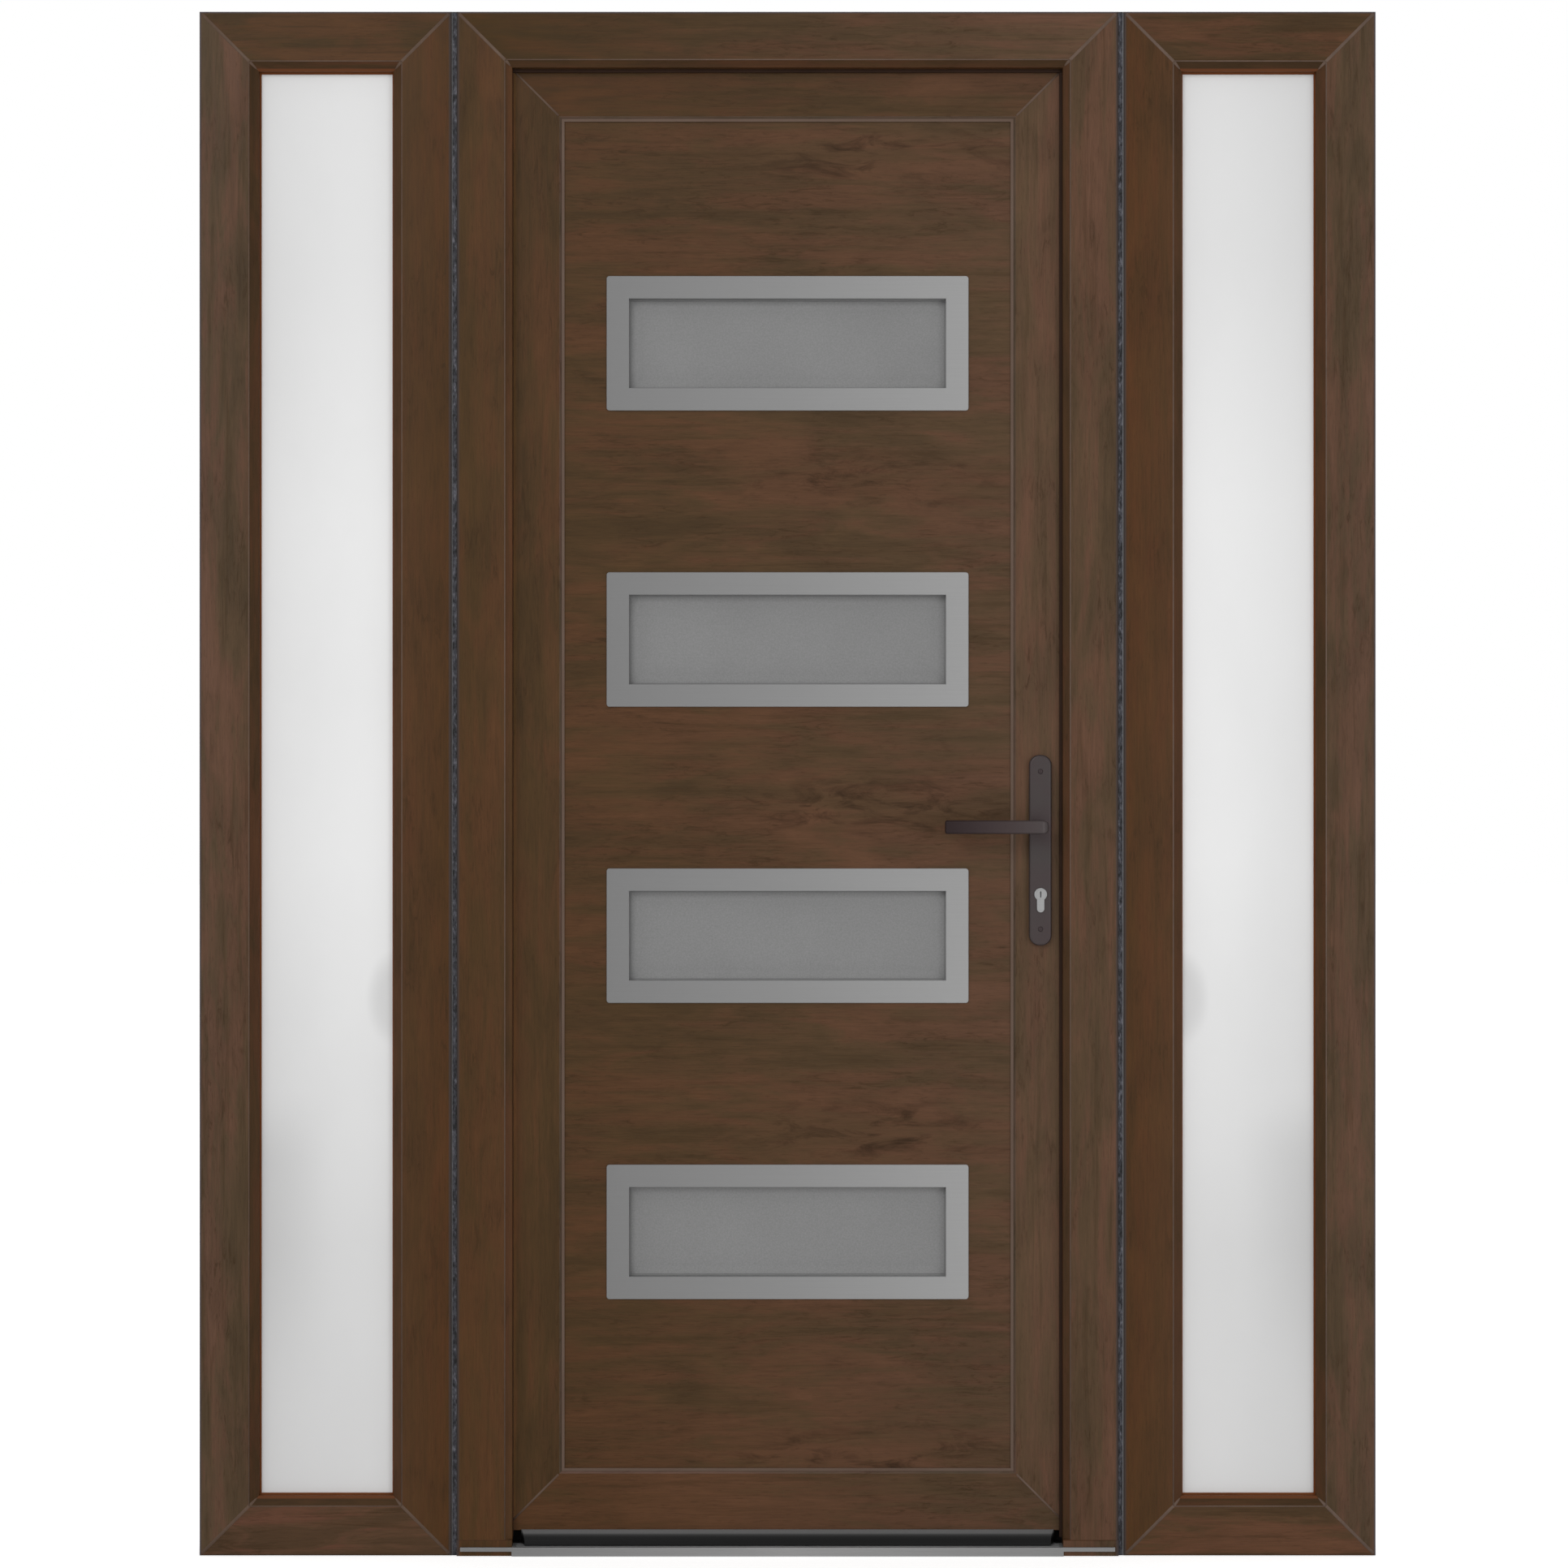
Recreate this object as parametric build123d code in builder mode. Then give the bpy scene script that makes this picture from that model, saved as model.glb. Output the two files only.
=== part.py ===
# Exterior door set: a panelled, glazed door leaf between two fixed side-lights.
# +X is to the right seen from outside, +Y runs into the house and +Z is up. The origin is on the floor, in
# the middle of the width and of the frame's depth. All sizes are in millimetres.
from build123d import *
import os

os.makedirs("parts", exist_ok=True)

# Driving sizes of the set
set_height = 2100
door_width = 900
light_width = 343
coupler_width = 7
frame_depth = 70
corner_round = 3
edge_round = 1.2

# Section of the side-light frames
light_base = 60
light_lip = 20
light_lip_depth = 16
light_bevel_width = 12.5
light_bevel_depth = 9
light_bead_bevel = 9

# Glass of the side-lights
light_glass = 24
glazing_gasket = 3
light_seal_show = 2
glass_edge_gap = 4
bead_gap = 0.3

# Section of the door frame
frame_base = 50
frame_leg = 25
frame_leg_depth = 18
frame_bevel_width = 9.5
frame_bevel_depth = 7

# Section of the door leaf
sash_depth = 70
sash_base = 60
sash_lip = 20
sash_lip_depth = 16
sash_bevel = 3
flange_width = 19
flange_depth = 18
rebate_gap = 11
groove_depth_of_sash = 3
seal_gap = 5
leaf_clear_floor = 30

# Door panel and its gasket
panel_set_back = 4
panel_edge = 24
panel_thickness = 50
panel_gasket_width = 4
panel_nib_proud = 2
panel_edge_gap = 3
sash_bead_bevel = 8

# Windows in the door panel
window_count = 4
window_pitch = 405
lowest_window_height = 437
trim_width = 495
trim_height = 184
trim_band = 31
trim_proud = 2.5
trim_return = 3
trim_chamfer = 0.5
trim_corner = 4
window_glass_thickness = 24
window_glass_hold = 11
window_fit = 0.3
window_seal_width = 1.8
window_seal_depth = 3

# Threshold, its blocks and the seals at the floor
threshold_height = 12
nosing_proud = 4
nosing_flange = 5.5
nosing_flange_depth = 2.7
nosing_end_gap = 5
threshold_front_depth = 25
groove_width = 4
groove_depth = 1.5
groove_count = 3
block_height = 21.5
block_proud = 1
block_chamfer = 1
drip_height = 18
drip_depth = 18
drip_top = 4
drip_nose = 2
drip_bulge = 3
drip_slant = 6
drip_end_gap = 7
brush_depth = 36
brush_carrier = 8
brush_short = 9
brush_thickness = 8
seal_touch = 0.3

# Frame and leaf gaskets
frame_seal_show = 4
frame_seal_show_hinge = 0.5
frame_seal_cover = 9
leaf_seal_width = 5
leaf_seal_inset = 1.5

# Handle, lock and cylinder
backset = 44
lever_height = 991
lock_centres = 92
plate_width = 30.5
plate_height = 260
plate_drop = 32
plate_thickness = 10
plate_corner = 14
plate_round = 3
screw_spacing = 215
screw_recess_radius = 3.6
screw_recess_depth = 1.2
lever_reach = 132
lever_face = 18.4
lever_thickness = 12
lever_taper = 3
lever_stand = 32
lever_elbow = 10
lever_inner_elbow = 9
lever_edge_round = 3
collar_height = 10
neck_radius = 9
neck_seat = 1
neck_clear = 0.1
spindle_side = 8
spindle_fit = 0.1
spindle_hold = 30
spindle_hole = 7
cylinder_radius = 8.5
cylinder_web = 5
cylinder_height = 33
cylinder_proud = 2
cylinder_fit = 0.3
plug_radius = 6.5
plug_clear = 0.05
plug_length = 30
plug_proud = 0.5
key_slot_height = 8
key_slot_width = 1.8
key_slot_depth = 6

# Lock faceplate, bolts and strike plates
faceplate_width = 16
faceplate_length = 1600
faceplate_low = 250
faceplate_back = 26
latch_width = 12
latch_height = 30
latch_rise = 19
latch_proud = 2
latch_flat = 2
deadbolt_height = 36
deadbolt_drop = 86
deadbolt_proud = 0.5
bolt_length = 34
bolt_fit = 0.3
strike_width = 19
strike_length = 210
strike_thickness = 3
strike_pocket = 20

# Door hinges
hinge_heights = [250, 1050, 1850]
hinge_length = 100
hinge_radius = 9
hinge_pin = 4
hinge_clear = 0.05
hinge_axial_gap = 0.5
leaf_barrel_length = 33
hinge_offset = 10.5
hinge_stand = 9
hinge_plate = 4
hinge_plate_gap = 6
hinge_block_width = 24
hinge_leaf_plate_width = 40
hinge_arm = 8
hinge_arm_reach = 24
hinge_cap_radius = 7
hinge_cap_height = 2.5
hinge_cap_taper = 20

# Lines and planes that follow from the driving sizes
outside = -frame_depth / 2
inside = frame_depth / 2
door_edge = door_width / 2
light_edge = door_edge + coupler_width
set_edge = light_edge + light_width
leg_back = outside + frame_leg_depth
rebate_edge = door_edge - frame_base
lip_edge = rebate_edge - frame_leg
sash_front = leg_back + seal_gap
sash_back = sash_front + sash_depth
flange_front = sash_back - flange_depth
leaf_edge = rebate_edge - rebate_gap
leaf_top = set_height - frame_base - rebate_gap
sash_lip_back = sash_front + sash_lip_depth
sash_width = sash_base + sash_lip
panel_front = sash_front + panel_set_back
panel_back = panel_front + panel_thickness
tongue_front = sash_lip_back + glazing_gasket
tongue_back = tongue_front + panel_edge
lever_x = leaf_edge - backset
plate_z = lever_height - plate_drop
cylinder_z = lever_height - lock_centres
window_centres = [lowest_window_height + n * window_pitch for n in range(window_count)]
hinge_x = -(leaf_edge + flange_width + hinge_offset)
hinge_y = sash_back + hinge_stand
sash_middle = Plane.XZ.offset(-(sash_front + sash_back) / 2)


def facing_out(y):
    """Upright plane at depth y: its x runs to the right, its y up and its normal to the outside."""
    return Plane.XZ.offset(-y)


def finish(part, name):
    """Name a finished piece and write its STEP file."""
    part.label = name
    export_step(part, f"parts/{name}.step")


def mitred_bar(outline, start, inward, length, mitres=(True, True), extra=(0, 0), gap=0,
               outer_round=0, lip_round=edge_round):
    """One bar of a frame. The outline is given as (distance inward, depth), start is the frame's corner,
    and extra lengthens an end for a flange that reaches past the corner."""
    plane = Plane(origin=start, x_dir=inward, z_dir=Vector(*inward).cross(Vector(0, 1, 0)))
    end = plane.origin + plane.z_dir * length
    with BuildPart() as bar:
        with BuildSketch(plane.offset(-extra[0])) as section:
            with BuildLine():
                Polyline(*outline, close=True)
            make_face()
            if lip_round:
                fillet(section.vertices().group_by(Axis.X)[-1], radius=lip_round)
            if outer_round:
                fillet(section.vertices().group_by(Axis.X)[0], radius=outer_round)
        extrude(amount=length + sum(extra))
        if mitres[0]:
            low_normal = plane.z_dir - plane.x_dir
            low_point = plane.origin + low_normal.normalized() * gap / 2
            split(bisect_by=Plane(origin=low_point, z_dir=low_normal), keep=Keep.TOP)
        if mitres[1]:
            high_normal = -plane.z_dir - plane.x_dir
            high_point = end + high_normal.normalized() * gap / 2
            split(bisect_by=Plane(origin=high_point, z_dir=high_normal), keep=Keep.TOP)
    return bar.part


def mitred_frame(outline, left, right, bottom, top, **bar_options):
    """Left, top, right and bottom bars of a rectangular frame."""
    return [
        mitred_bar(outline, (left, 0, bottom), (1, 0, 0), top - bottom, **bar_options),
        mitred_bar(outline, (left, 0, top), (0, 0, -1), right - left, **bar_options),
        mitred_bar(outline, (right, 0, top), (-1, 0, 0), top - bottom, **bar_options),
        mitred_bar(outline, (right, 0, bottom), (0, 0, 1), right - left, **bar_options),
    ]


# Side-lights: a mitred frame, one pane of insulating glass and glazing beads on the inside
light_width_of_bar = light_base + light_lip
light_lip_back = outside + light_lip_depth
glass_front = light_lip_back + glazing_gasket
glass_back = glass_front + light_glass
light_outline = [
    (0, outside),
    (light_width_of_bar - light_bevel_width, outside),
    (light_width_of_bar, outside + light_bevel_depth),
    (light_width_of_bar, light_lip_back),
    (light_base, light_lip_back),
    (light_base, inside),
    (0, inside),
]
light_bead_outline = [
    (light_base, glass_back),
    (light_width_of_bar, glass_back),
    (light_width_of_bar, inside - light_bead_bevel),
    (light_width_of_bar - light_bead_bevel, inside),
    (light_base, inside),
]
light_seal_outline = [
    (light_base + glass_edge_gap, light_lip_back),
    (light_width_of_bar + light_seal_show, light_lip_back),
    (light_width_of_bar + light_seal_show, glass_front),
    (light_base + glass_edge_gap, glass_front),
]
light_spans = {"left": (-set_edge, -light_edge), "right": (light_edge, set_edge)}

for side, (light_left, light_right) in light_spans.items():
    bars = mitred_frame(light_outline, light_left, light_right, 0, set_height, outer_round=corner_round)
    left_bar, head_bar, right_bar, sill_bar = bars
    outer_bar, inner_bar = (left_bar, right_bar) if side == "left" else (right_bar, left_bar)
    finish(outer_bar, f"{side}_light_outer_jamb")
    finish(inner_bar, f"{side}_light_inner_jamb")
    finish(head_bar, f"{side}_light_head")
    finish(sill_bar, f"{side}_light_sill")

    glass_margin = light_base + glass_edge_gap
    with BuildPart() as light_pane:
        with BuildSketch(facing_out(glass_back)):
            with Locations(((light_left + light_right) / 2, set_height / 2)):
                Rectangle(light_width - 2 * glass_margin, set_height - 2 * glass_margin)
        extrude(amount=light_glass)
    finish(light_pane.part, f"{side}_light_glass")

    bead_bars = mitred_frame(light_bead_outline, light_left, light_right, 0, set_height, gap=bead_gap)
    with BuildPart() as light_beads:
        add(bead_bars)
    finish(light_beads.part, f"{side}_light_beads")

with BuildPart() as light_gaskets:
    for light_left, light_right in light_spans.values():
        add(mitred_frame(light_seal_outline, light_left, light_right, 0, set_height, lip_round=0))
finish(light_gaskets.part, "light_gaskets")


# Couplers between the side-lights and the door frame, set back a little from both faces
with BuildPart() as couplers:
    with BuildSketch(Plane.XY):
        with GridLocations(door_edge + light_edge, 1, 2, 1):
            Rectangle(coupler_width, frame_depth - 2 * corner_round)
    extrude(amount=set_height)
finish(couplers.part, "couplers")


# Door frame: two jambs and a head with the leg that the leaf closes against
frame_width = frame_base + frame_leg
frame_outline = [
    (0, outside),
    (frame_width - frame_bevel_width, outside),
    (frame_width, outside + frame_bevel_depth),
    (frame_width, leg_back),
    (frame_base, leg_back),
    (frame_base, inside),
    (0, inside),
]
jamb_length = set_height - block_height
hinge_jamb = mitred_bar(
    frame_outline, (-door_edge, 0, block_height), (1, 0, 0), jamb_length,
    mitres=(False, True), outer_round=corner_round,
)
finish(hinge_jamb, "hinge_jamb")

frame_head = mitred_bar(
    frame_outline, (-door_edge, 0, set_height), (0, 0, -1), door_width, outer_round=corner_round
)
finish(frame_head, "frame_head")

lock_jamb_bar = mitred_bar(
    frame_outline, (door_edge, 0, set_height), (-1, 0, 0), jamb_length,
    mitres=(True, False), outer_round=corner_round,
)
latch_z = lever_height + latch_rise
deadbolt_z = lever_height - deadbolt_drop
strike_z = (latch_z + deadbolt_z) / 2
faceplate_y = sash_back - faceplate_back - faceplate_width / 2
bolt_places = [(latch_z, latch_height), (deadbolt_z, deadbolt_height)]
rebate_plane = Plane(origin=(rebate_edge, faceplate_y, strike_z), x_dir=(0, 1, 0), z_dir=(1, 0, 0))
with BuildPart() as lock_jamb:
    add(lock_jamb_bar)
    with BuildSketch(rebate_plane):
        Rectangle(strike_width, strike_length)
    extrude(amount=strike_thickness, mode=Mode.SUBTRACT)
    with BuildSketch(rebate_plane):
        for bolt_z, bolt_tall in bolt_places:
            with Locations((0, bolt_z - strike_z)):
                Rectangle(latch_width + 2, bolt_tall + 4)
    extrude(amount=strike_pocket, mode=Mode.SUBTRACT)
finish(lock_jamb.part, "lock_jamb")

with BuildPart() as strike_plate:
    with BuildSketch(rebate_plane):
        Rectangle(strike_width, strike_length)
        for bolt_z, bolt_tall in bolt_places:
            with Locations((0, bolt_z - strike_z)):
                Rectangle(latch_width + 2, bolt_tall + 4, mode=Mode.SUBTRACT)
    extrude(amount=strike_thickness)
finish(strike_plate.part, "strike_plate")


# Gasket on the back of the frame's leg, on three sides
seal_thickness = seal_gap - seal_touch
seal_foot = frame_width - frame_seal_cover
seal_low = set_height - frame_width - frame_seal_show - bead_gap
head_seal_length = 2 * (door_edge - seal_foot)


def frame_seal_outline(show):
    """Section of the frame gasket, which shows by the given width past the lip."""
    return [
        (seal_foot, leg_back),
        (frame_width + show, leg_back),
        (frame_width + show, leg_back + seal_thickness),
        (seal_foot, leg_back + seal_thickness),
    ]


seal_bars = [
    mitred_bar(frame_seal_outline(frame_seal_show_hinge), (-door_edge, 0, block_height), (1, 0, 0),
               seal_low - block_height, mitres=(False, False)),
    mitred_bar(frame_seal_outline(frame_seal_show), (-head_seal_length / 2, 0, set_height), (0, 0, -1),
               head_seal_length, mitres=(False, False)),
    mitred_bar(frame_seal_outline(frame_seal_show), (door_edge, 0, seal_low), (-1, 0, 0),
               seal_low - block_height, mitres=(False, False)),
]
with BuildPart() as frame_gasket:
    add(seal_bars)
finish(frame_gasket.part, "frame_gasket")


# Threshold: a grooved aluminium front, a dark inner part and a block under each jamb
front_edge = outside - nosing_proud
threshold_split = outside - block_proud + threshold_front_depth
with BuildPart() as threshold:
    with BuildSketch(Plane.XY):
        with BuildLine():
            Polyline(
                (-lip_edge, front_edge), (lip_edge, front_edge), (lip_edge, leg_back),
                (rebate_edge, leg_back), (rebate_edge, threshold_split),
                (-rebate_edge, threshold_split), (-rebate_edge, leg_back), (-lip_edge, leg_back),
                close=True,
            )
        make_face()
    extrude(amount=threshold_height)
    with BuildSketch(facing_out(front_edge + nosing_flange_depth)):
        with Locations((0, threshold_height - nosing_flange / 2)):
            Rectangle(door_width - 2 * nosing_end_gap, nosing_flange)
    extrude(amount=nosing_flange_depth)
    with BuildSketch(Plane.XY.offset(threshold_height)):
        with Locations((0, (front_edge + threshold_split) / 2)):
            with GridLocations(1, 2 * groove_width, 1, groove_count):
                Rectangle(2 * lip_edge - 2 * nosing_end_gap, groove_width)
    extrude(amount=-groove_depth, mode=Mode.SUBTRACT)
    nose_edge = threshold.edges().filter_by(Axis.X).group_by(Axis.Y)[0].sort_by(Axis.Z)[-1]
    fillet(nose_edge, radius=1)
finish(threshold.part, "threshold")

with BuildPart() as threshold_core:
    with BuildSketch(Plane.XY):
        with Locations((0, (threshold_split + inside) / 2)):
            Rectangle(2 * rebate_edge, inside - threshold_split)
    extrude(amount=threshold_height)
    chamfer(threshold_core.edges().filter_by(Axis.X).group_by(Axis.Z)[-1].sort_by(Axis.Y)[-1], length=5)
finish(threshold_core.part, "threshold_core")

with BuildPart() as threshold_blocks:
    for direction in (-1, 1):
        with BuildSketch(Plane.XY):
            with BuildLine():
                Polyline(
                    (direction * door_edge, outside - block_proud),
                    (direction * lip_edge, outside - block_proud),
                    (direction * lip_edge, leg_back),
                    (direction * rebate_edge, leg_back),
                    (direction * rebate_edge, inside),
                    (direction * door_edge, inside),
                    close=True,
                )
            make_face()
        extrude(amount=block_height)
    front_top = threshold_blocks.edges().filter_by(Axis.X).group_by(Axis.Y)[0].group_by(Axis.Z)[-1]
    chamfer(front_top, length=block_chamfer - 0.05)
finish(threshold_blocks.part, "threshold_blocks")


# Door leaf: two stiles and a top rail with the flange that covers the frame inside, and a bottom rail.
# A groove for the lock's faceplate runs all round the leaf's edge.
sash_inner_outline = [
    (0, sash_front),
    (sash_width - sash_bevel, sash_front),
    (sash_width, sash_front + sash_bevel),
    (sash_width, sash_lip_back),
    (sash_base, sash_lip_back),
    (sash_base, sash_back),
]
sash_groove_outline = [
    (0, faceplate_y + faceplate_width / 2),
    (groove_depth_of_sash, faceplate_y + faceplate_width / 2),
    (groove_depth_of_sash, faceplate_y - faceplate_width / 2),
    (0, faceplate_y - faceplate_width / 2),
]
sash_flange_outline = [
    (-flange_width, sash_back),
    (-flange_width, flange_front),
    (0, flange_front),
]
sash_outline_plain = sash_inner_outline + [(0, sash_back)] + sash_groove_outline
sash_outline = sash_inner_outline + sash_flange_outline + sash_groove_outline
leaf_height = leaf_top - leaf_clear_floor
leaf_width = 2 * leaf_edge
hinge_stile = mitred_bar(
    sash_outline, (-leaf_edge, 0, leaf_clear_floor), (1, 0, 0), leaf_height,
    extra=(0, flange_width), outer_round=edge_round,
)
finish(hinge_stile, "hinge_stile")

top_rail = mitred_bar(
    sash_outline, (-leaf_edge, 0, leaf_top), (0, 0, -1), leaf_width,
    extra=(flange_width, flange_width), outer_round=edge_round,
)
finish(top_rail, "top_rail")

bottom_rail = mitred_bar(
    sash_outline_plain, (leaf_edge, 0, leaf_clear_floor), (0, 0, 1), leaf_width
)
finish(bottom_rail, "bottom_rail")


def euro_profile(clear):
    """Outline of a profile cylinder about its plug, widened by a clearance."""
    with BuildSketch() as profile:
        Circle(cylinder_radius + clear)
        web_centre = cylinder_radius + cylinder_web - cylinder_height
        with Locations((0, web_centre / 2)):
            Rectangle(2 * (cylinder_web + clear), -web_centre)
        with Locations((0, web_centre)):
            Circle(cylinder_web + clear)
    return profile.sketch


lock_stile_bar = mitred_bar(
    sash_outline, (leaf_edge, 0, leaf_top), (-1, 0, 0), leaf_height,
    extra=(flange_width, 0), outer_round=edge_round,
)
leaf_edge_plane = Plane(origin=(leaf_edge, faceplate_y, 0), x_dir=(0, -1, 0), z_dir=(-1, 0, 0))
faceplate_z = faceplate_low + faceplate_length / 2
with BuildPart() as lock_stile:
    add(lock_stile_bar)
    with BuildSketch(leaf_edge_plane):
        for bolt_z, bolt_tall in bolt_places:
            with Locations((0, bolt_z)):
                Rectangle(latch_width + 2 * bolt_fit, bolt_tall + 2 * bolt_fit)
    extrude(amount=bolt_length, mode=Mode.SUBTRACT)
    with BuildSketch(facing_out(sash_back)):
        with Locations((lever_x, lever_height)):
            Circle(spindle_hole)
        with Locations((lever_x, cylinder_z)):
            add(euro_profile(cylinder_fit))
    extrude(amount=sash_depth, mode=Mode.SUBTRACT)
finish(lock_stile.part, "lock_stile")


# Lock: a long faceplate in the groove of the stile's edge, and the heads of the latch and deadbolt drawn back
with BuildPart() as door_lock:
    with BuildSketch(leaf_edge_plane):
        with Locations((0, faceplate_z)):
            Rectangle(faceplate_width, faceplate_length)
        for bolt_z, bolt_tall in bolt_places:
            with Locations((0, bolt_z)):
                Rectangle(latch_width + 2 * bolt_fit, bolt_tall + 2 * bolt_fit, mode=Mode.SUBTRACT)
    extrude(amount=groove_depth_of_sash)
    with BuildSketch(leaf_edge_plane.offset(-latch_proud)):
        with Locations((0, latch_z)):
            Rectangle(latch_width, latch_height)
    extrude(amount=bolt_length + latch_proud - bolt_fit)
    latch_nose = door_lock.edges().filter_by(Axis.Z).group_by(Axis.X)[-1].sort_by(Axis.Y)[-1]
    chamfer(latch_nose, length=latch_proud - bolt_fit, length2=latch_width - latch_flat)
    with BuildSketch(leaf_edge_plane.offset(-deadbolt_proud)):
        with Locations((0, deadbolt_z)):
            Rectangle(latch_width, deadbolt_height)
    extrude(amount=bolt_length + deadbolt_proud - bolt_fit)
finish(door_lock.part, "door_lock")


# Door panel with its edge tongue, and its four window openings
opening_width = trim_width - 2 * trim_band
opening_height = trim_height - 2 * trim_band
glass_width = opening_width + 2 * window_glass_hold
glass_height = opening_height + 2 * window_glass_hold
panel_top = leaf_top - sash_width - panel_gasket_width
panel_bottom = leaf_clear_floor + sash_width + panel_gasket_width
panel_edge_x = leaf_edge - sash_width - panel_gasket_width
tongue_inset = sash_base + panel_edge_gap
panel_centre = (panel_top + panel_bottom) / 2
window_locations = [(0, z) for z in window_centres]
with BuildPart() as door_panel:
    with BuildSketch(facing_out(panel_back)):
        with Locations((0, panel_centre)):
            Rectangle(2 * panel_edge_x, panel_top - panel_bottom)
    extrude(amount=panel_thickness)
    with BuildSketch(facing_out(tongue_back)):
        with Locations((0, panel_centre)):
            Rectangle(leaf_width - 2 * tongue_inset, leaf_height - 2 * tongue_inset)
    extrude(amount=panel_edge)
    with BuildSketch(facing_out(panel_back)):
        with Locations(*window_locations):
            Rectangle(glass_width + 2 * window_fit, glass_height + 2 * window_fit)
    extrude(amount=panel_thickness, mode=Mode.SUBTRACT)
finish(door_panel.part, "door_panel")

# The light gasket round the panel: a foot behind the sash's lip, the nib that shows outside, and a ring
# between the panel and its beads inside
with BuildPart() as panel_gasket:
    with BuildSketch(facing_out(tongue_front)):
        with Locations((0, panel_centre)):
            Rectangle(leaf_width - 2 * tongue_inset, leaf_height - 2 * tongue_inset)
            Rectangle(2 * panel_edge_x, panel_top - panel_bottom, mode=Mode.SUBTRACT)
    extrude(amount=glazing_gasket)
    with BuildSketch(facing_out(sash_lip_back)):
        with Locations((0, panel_centre)):
            Rectangle(2 * (panel_edge_x + panel_gasket_width), panel_top - panel_bottom + 2 * panel_gasket_width)
            Rectangle(2 * panel_edge_x, panel_top - panel_bottom, mode=Mode.SUBTRACT)
    extrude(amount=sash_lip_depth - panel_set_back / 2)
    with BuildSketch(facing_out(panel_back + panel_nib_proud)):
        with Locations((0, panel_centre)):
            Rectangle(2 * (panel_edge_x + panel_gasket_width), panel_top - panel_bottom + 2 * panel_gasket_width)
            Rectangle(2 * panel_edge_x, panel_top - panel_bottom, mode=Mode.SUBTRACT)
    extrude(amount=panel_back + panel_nib_proud - tongue_back)
finish(panel_gasket.part, "panel_gasket")

sash_bead_outline = [
    (sash_base, tongue_back),
    (sash_width, tongue_back),
    (sash_width, sash_back - sash_bead_bevel),
    (sash_width - sash_bead_bevel, sash_back),
    (sash_base, sash_back),
]
panel_bead_bars = mitred_frame(
    sash_bead_outline, -leaf_edge, leaf_edge, leaf_clear_floor, leaf_top, gap=bead_gap
)
with BuildPart() as panel_beads:
    add(panel_bead_bars)
finish(panel_beads.part, "panel_beads")


# Windows of the door: sealed glass between a trim ring outside and one inside
panel_middle = (panel_front + panel_back) / 2
window_glass_front = panel_middle - window_glass_thickness / 2
with BuildPart() as window_glass:
    with BuildSketch(facing_out(window_glass_front + window_glass_thickness)):
        with Locations(*window_locations):
            Rectangle(glass_width, glass_height)
    extrude(amount=window_glass_thickness)
finish(window_glass.part, "window_glass")

with BuildPart() as window_trims_outside:
    with BuildSketch(facing_out(panel_front)):
        with Locations(*window_locations):
            RectangleRounded(trim_width, trim_height, trim_corner)
            Rectangle(opening_width, opening_height, mode=Mode.SUBTRACT)
    extrude(amount=trim_proud)
    top_edges = window_trims_outside.faces().group_by(Axis.Y)[0].edges()
    chamfer(top_edges, length=trim_chamfer)
    with BuildSketch(facing_out(window_glass_front - window_fit)):
        with Locations(*window_locations):
            Rectangle(opening_width + 2 * trim_return, opening_height + 2 * trim_return)
            Rectangle(opening_width, opening_height, mode=Mode.SUBTRACT)
    extrude(amount=window_glass_front - window_fit - panel_front)
finish(window_trims_outside.part, "window_trims_outside")

panel_mid_plane = Plane.XZ.offset(-panel_middle)
with BuildPart() as window_trims_inside:
    mirror(window_trims_outside.part, about=panel_mid_plane)
finish(window_trims_inside.part, "window_trims_inside")

# A thin dark seal lies in each trim's opening, on both faces of the glass
window_glass_back = window_glass_front + window_glass_thickness
with BuildPart() as window_seals:
    for seal_back in (window_glass_front, window_glass_back + window_seal_depth):
        with BuildSketch(facing_out(seal_back)):
            with Locations(*window_locations):
                Rectangle(opening_width, opening_height)
                Rectangle(
                    opening_width - 2 * window_seal_width, opening_height - 2 * window_seal_width,
                    mode=Mode.SUBTRACT,
                )
        extrude(amount=window_seal_depth)
finish(window_seals.part, "window_seals")


# Drip bar on the outside face, with slanted ends, and the brush seal under the leaf
drip_low = leaf_clear_floor + 1 - drip_height
drip_high = drip_low + drip_height
drip_end = lip_edge - frame_seal_show - drip_end_gap
drip_front = sash_front - drip_depth
with BuildPart() as drip_bar:
    with BuildSketch(Plane(origin=(-drip_end, 0, 0), x_dir=(0, 1, 0), z_dir=(1, 0, 0))):
        with BuildLine():
            Polyline(
                (drip_front, drip_low + drip_nose), (drip_front, drip_low), (sash_front, drip_low),
                (sash_front, drip_high), (sash_front - drip_top, drip_high),
            )
            SagittaArc((sash_front - drip_top, drip_high), (drip_front, drip_low + drip_nose), -drip_bulge)
        make_face()
    extrude(amount=2 * drip_end)
    for direction in (-1, 1):
        end_normal = (direction * drip_depth, -drip_slant, 0)
        split(bisect_by=Plane(origin=(direction * drip_end, sash_front, 0), z_dir=end_normal),
              keep=Keep.BOTTOM)
finish(drip_bar.part, "drip_bar")

brush_length = leaf_width - 2 * brush_short
with BuildPart() as bottom_seal:
    with BuildSketch(Plane.XY.offset(leaf_clear_floor)):
        with Locations((0, (sash_front + sash_back) / 2)):
            Rectangle(brush_length, brush_depth)
    extrude(amount=-brush_carrier)
    with BuildSketch(Plane.XY.offset(leaf_clear_floor - brush_carrier)):
        with Locations((0, (sash_front + sash_back) / 2)):
            with GridLocations(1, brush_depth - brush_thickness, 1, 2):
                Rectangle(brush_length, brush_thickness)
    extrude(amount=-(leaf_clear_floor - brush_carrier - threshold_height - seal_touch))
finish(bottom_seal.part, "bottom_seal")


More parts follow.
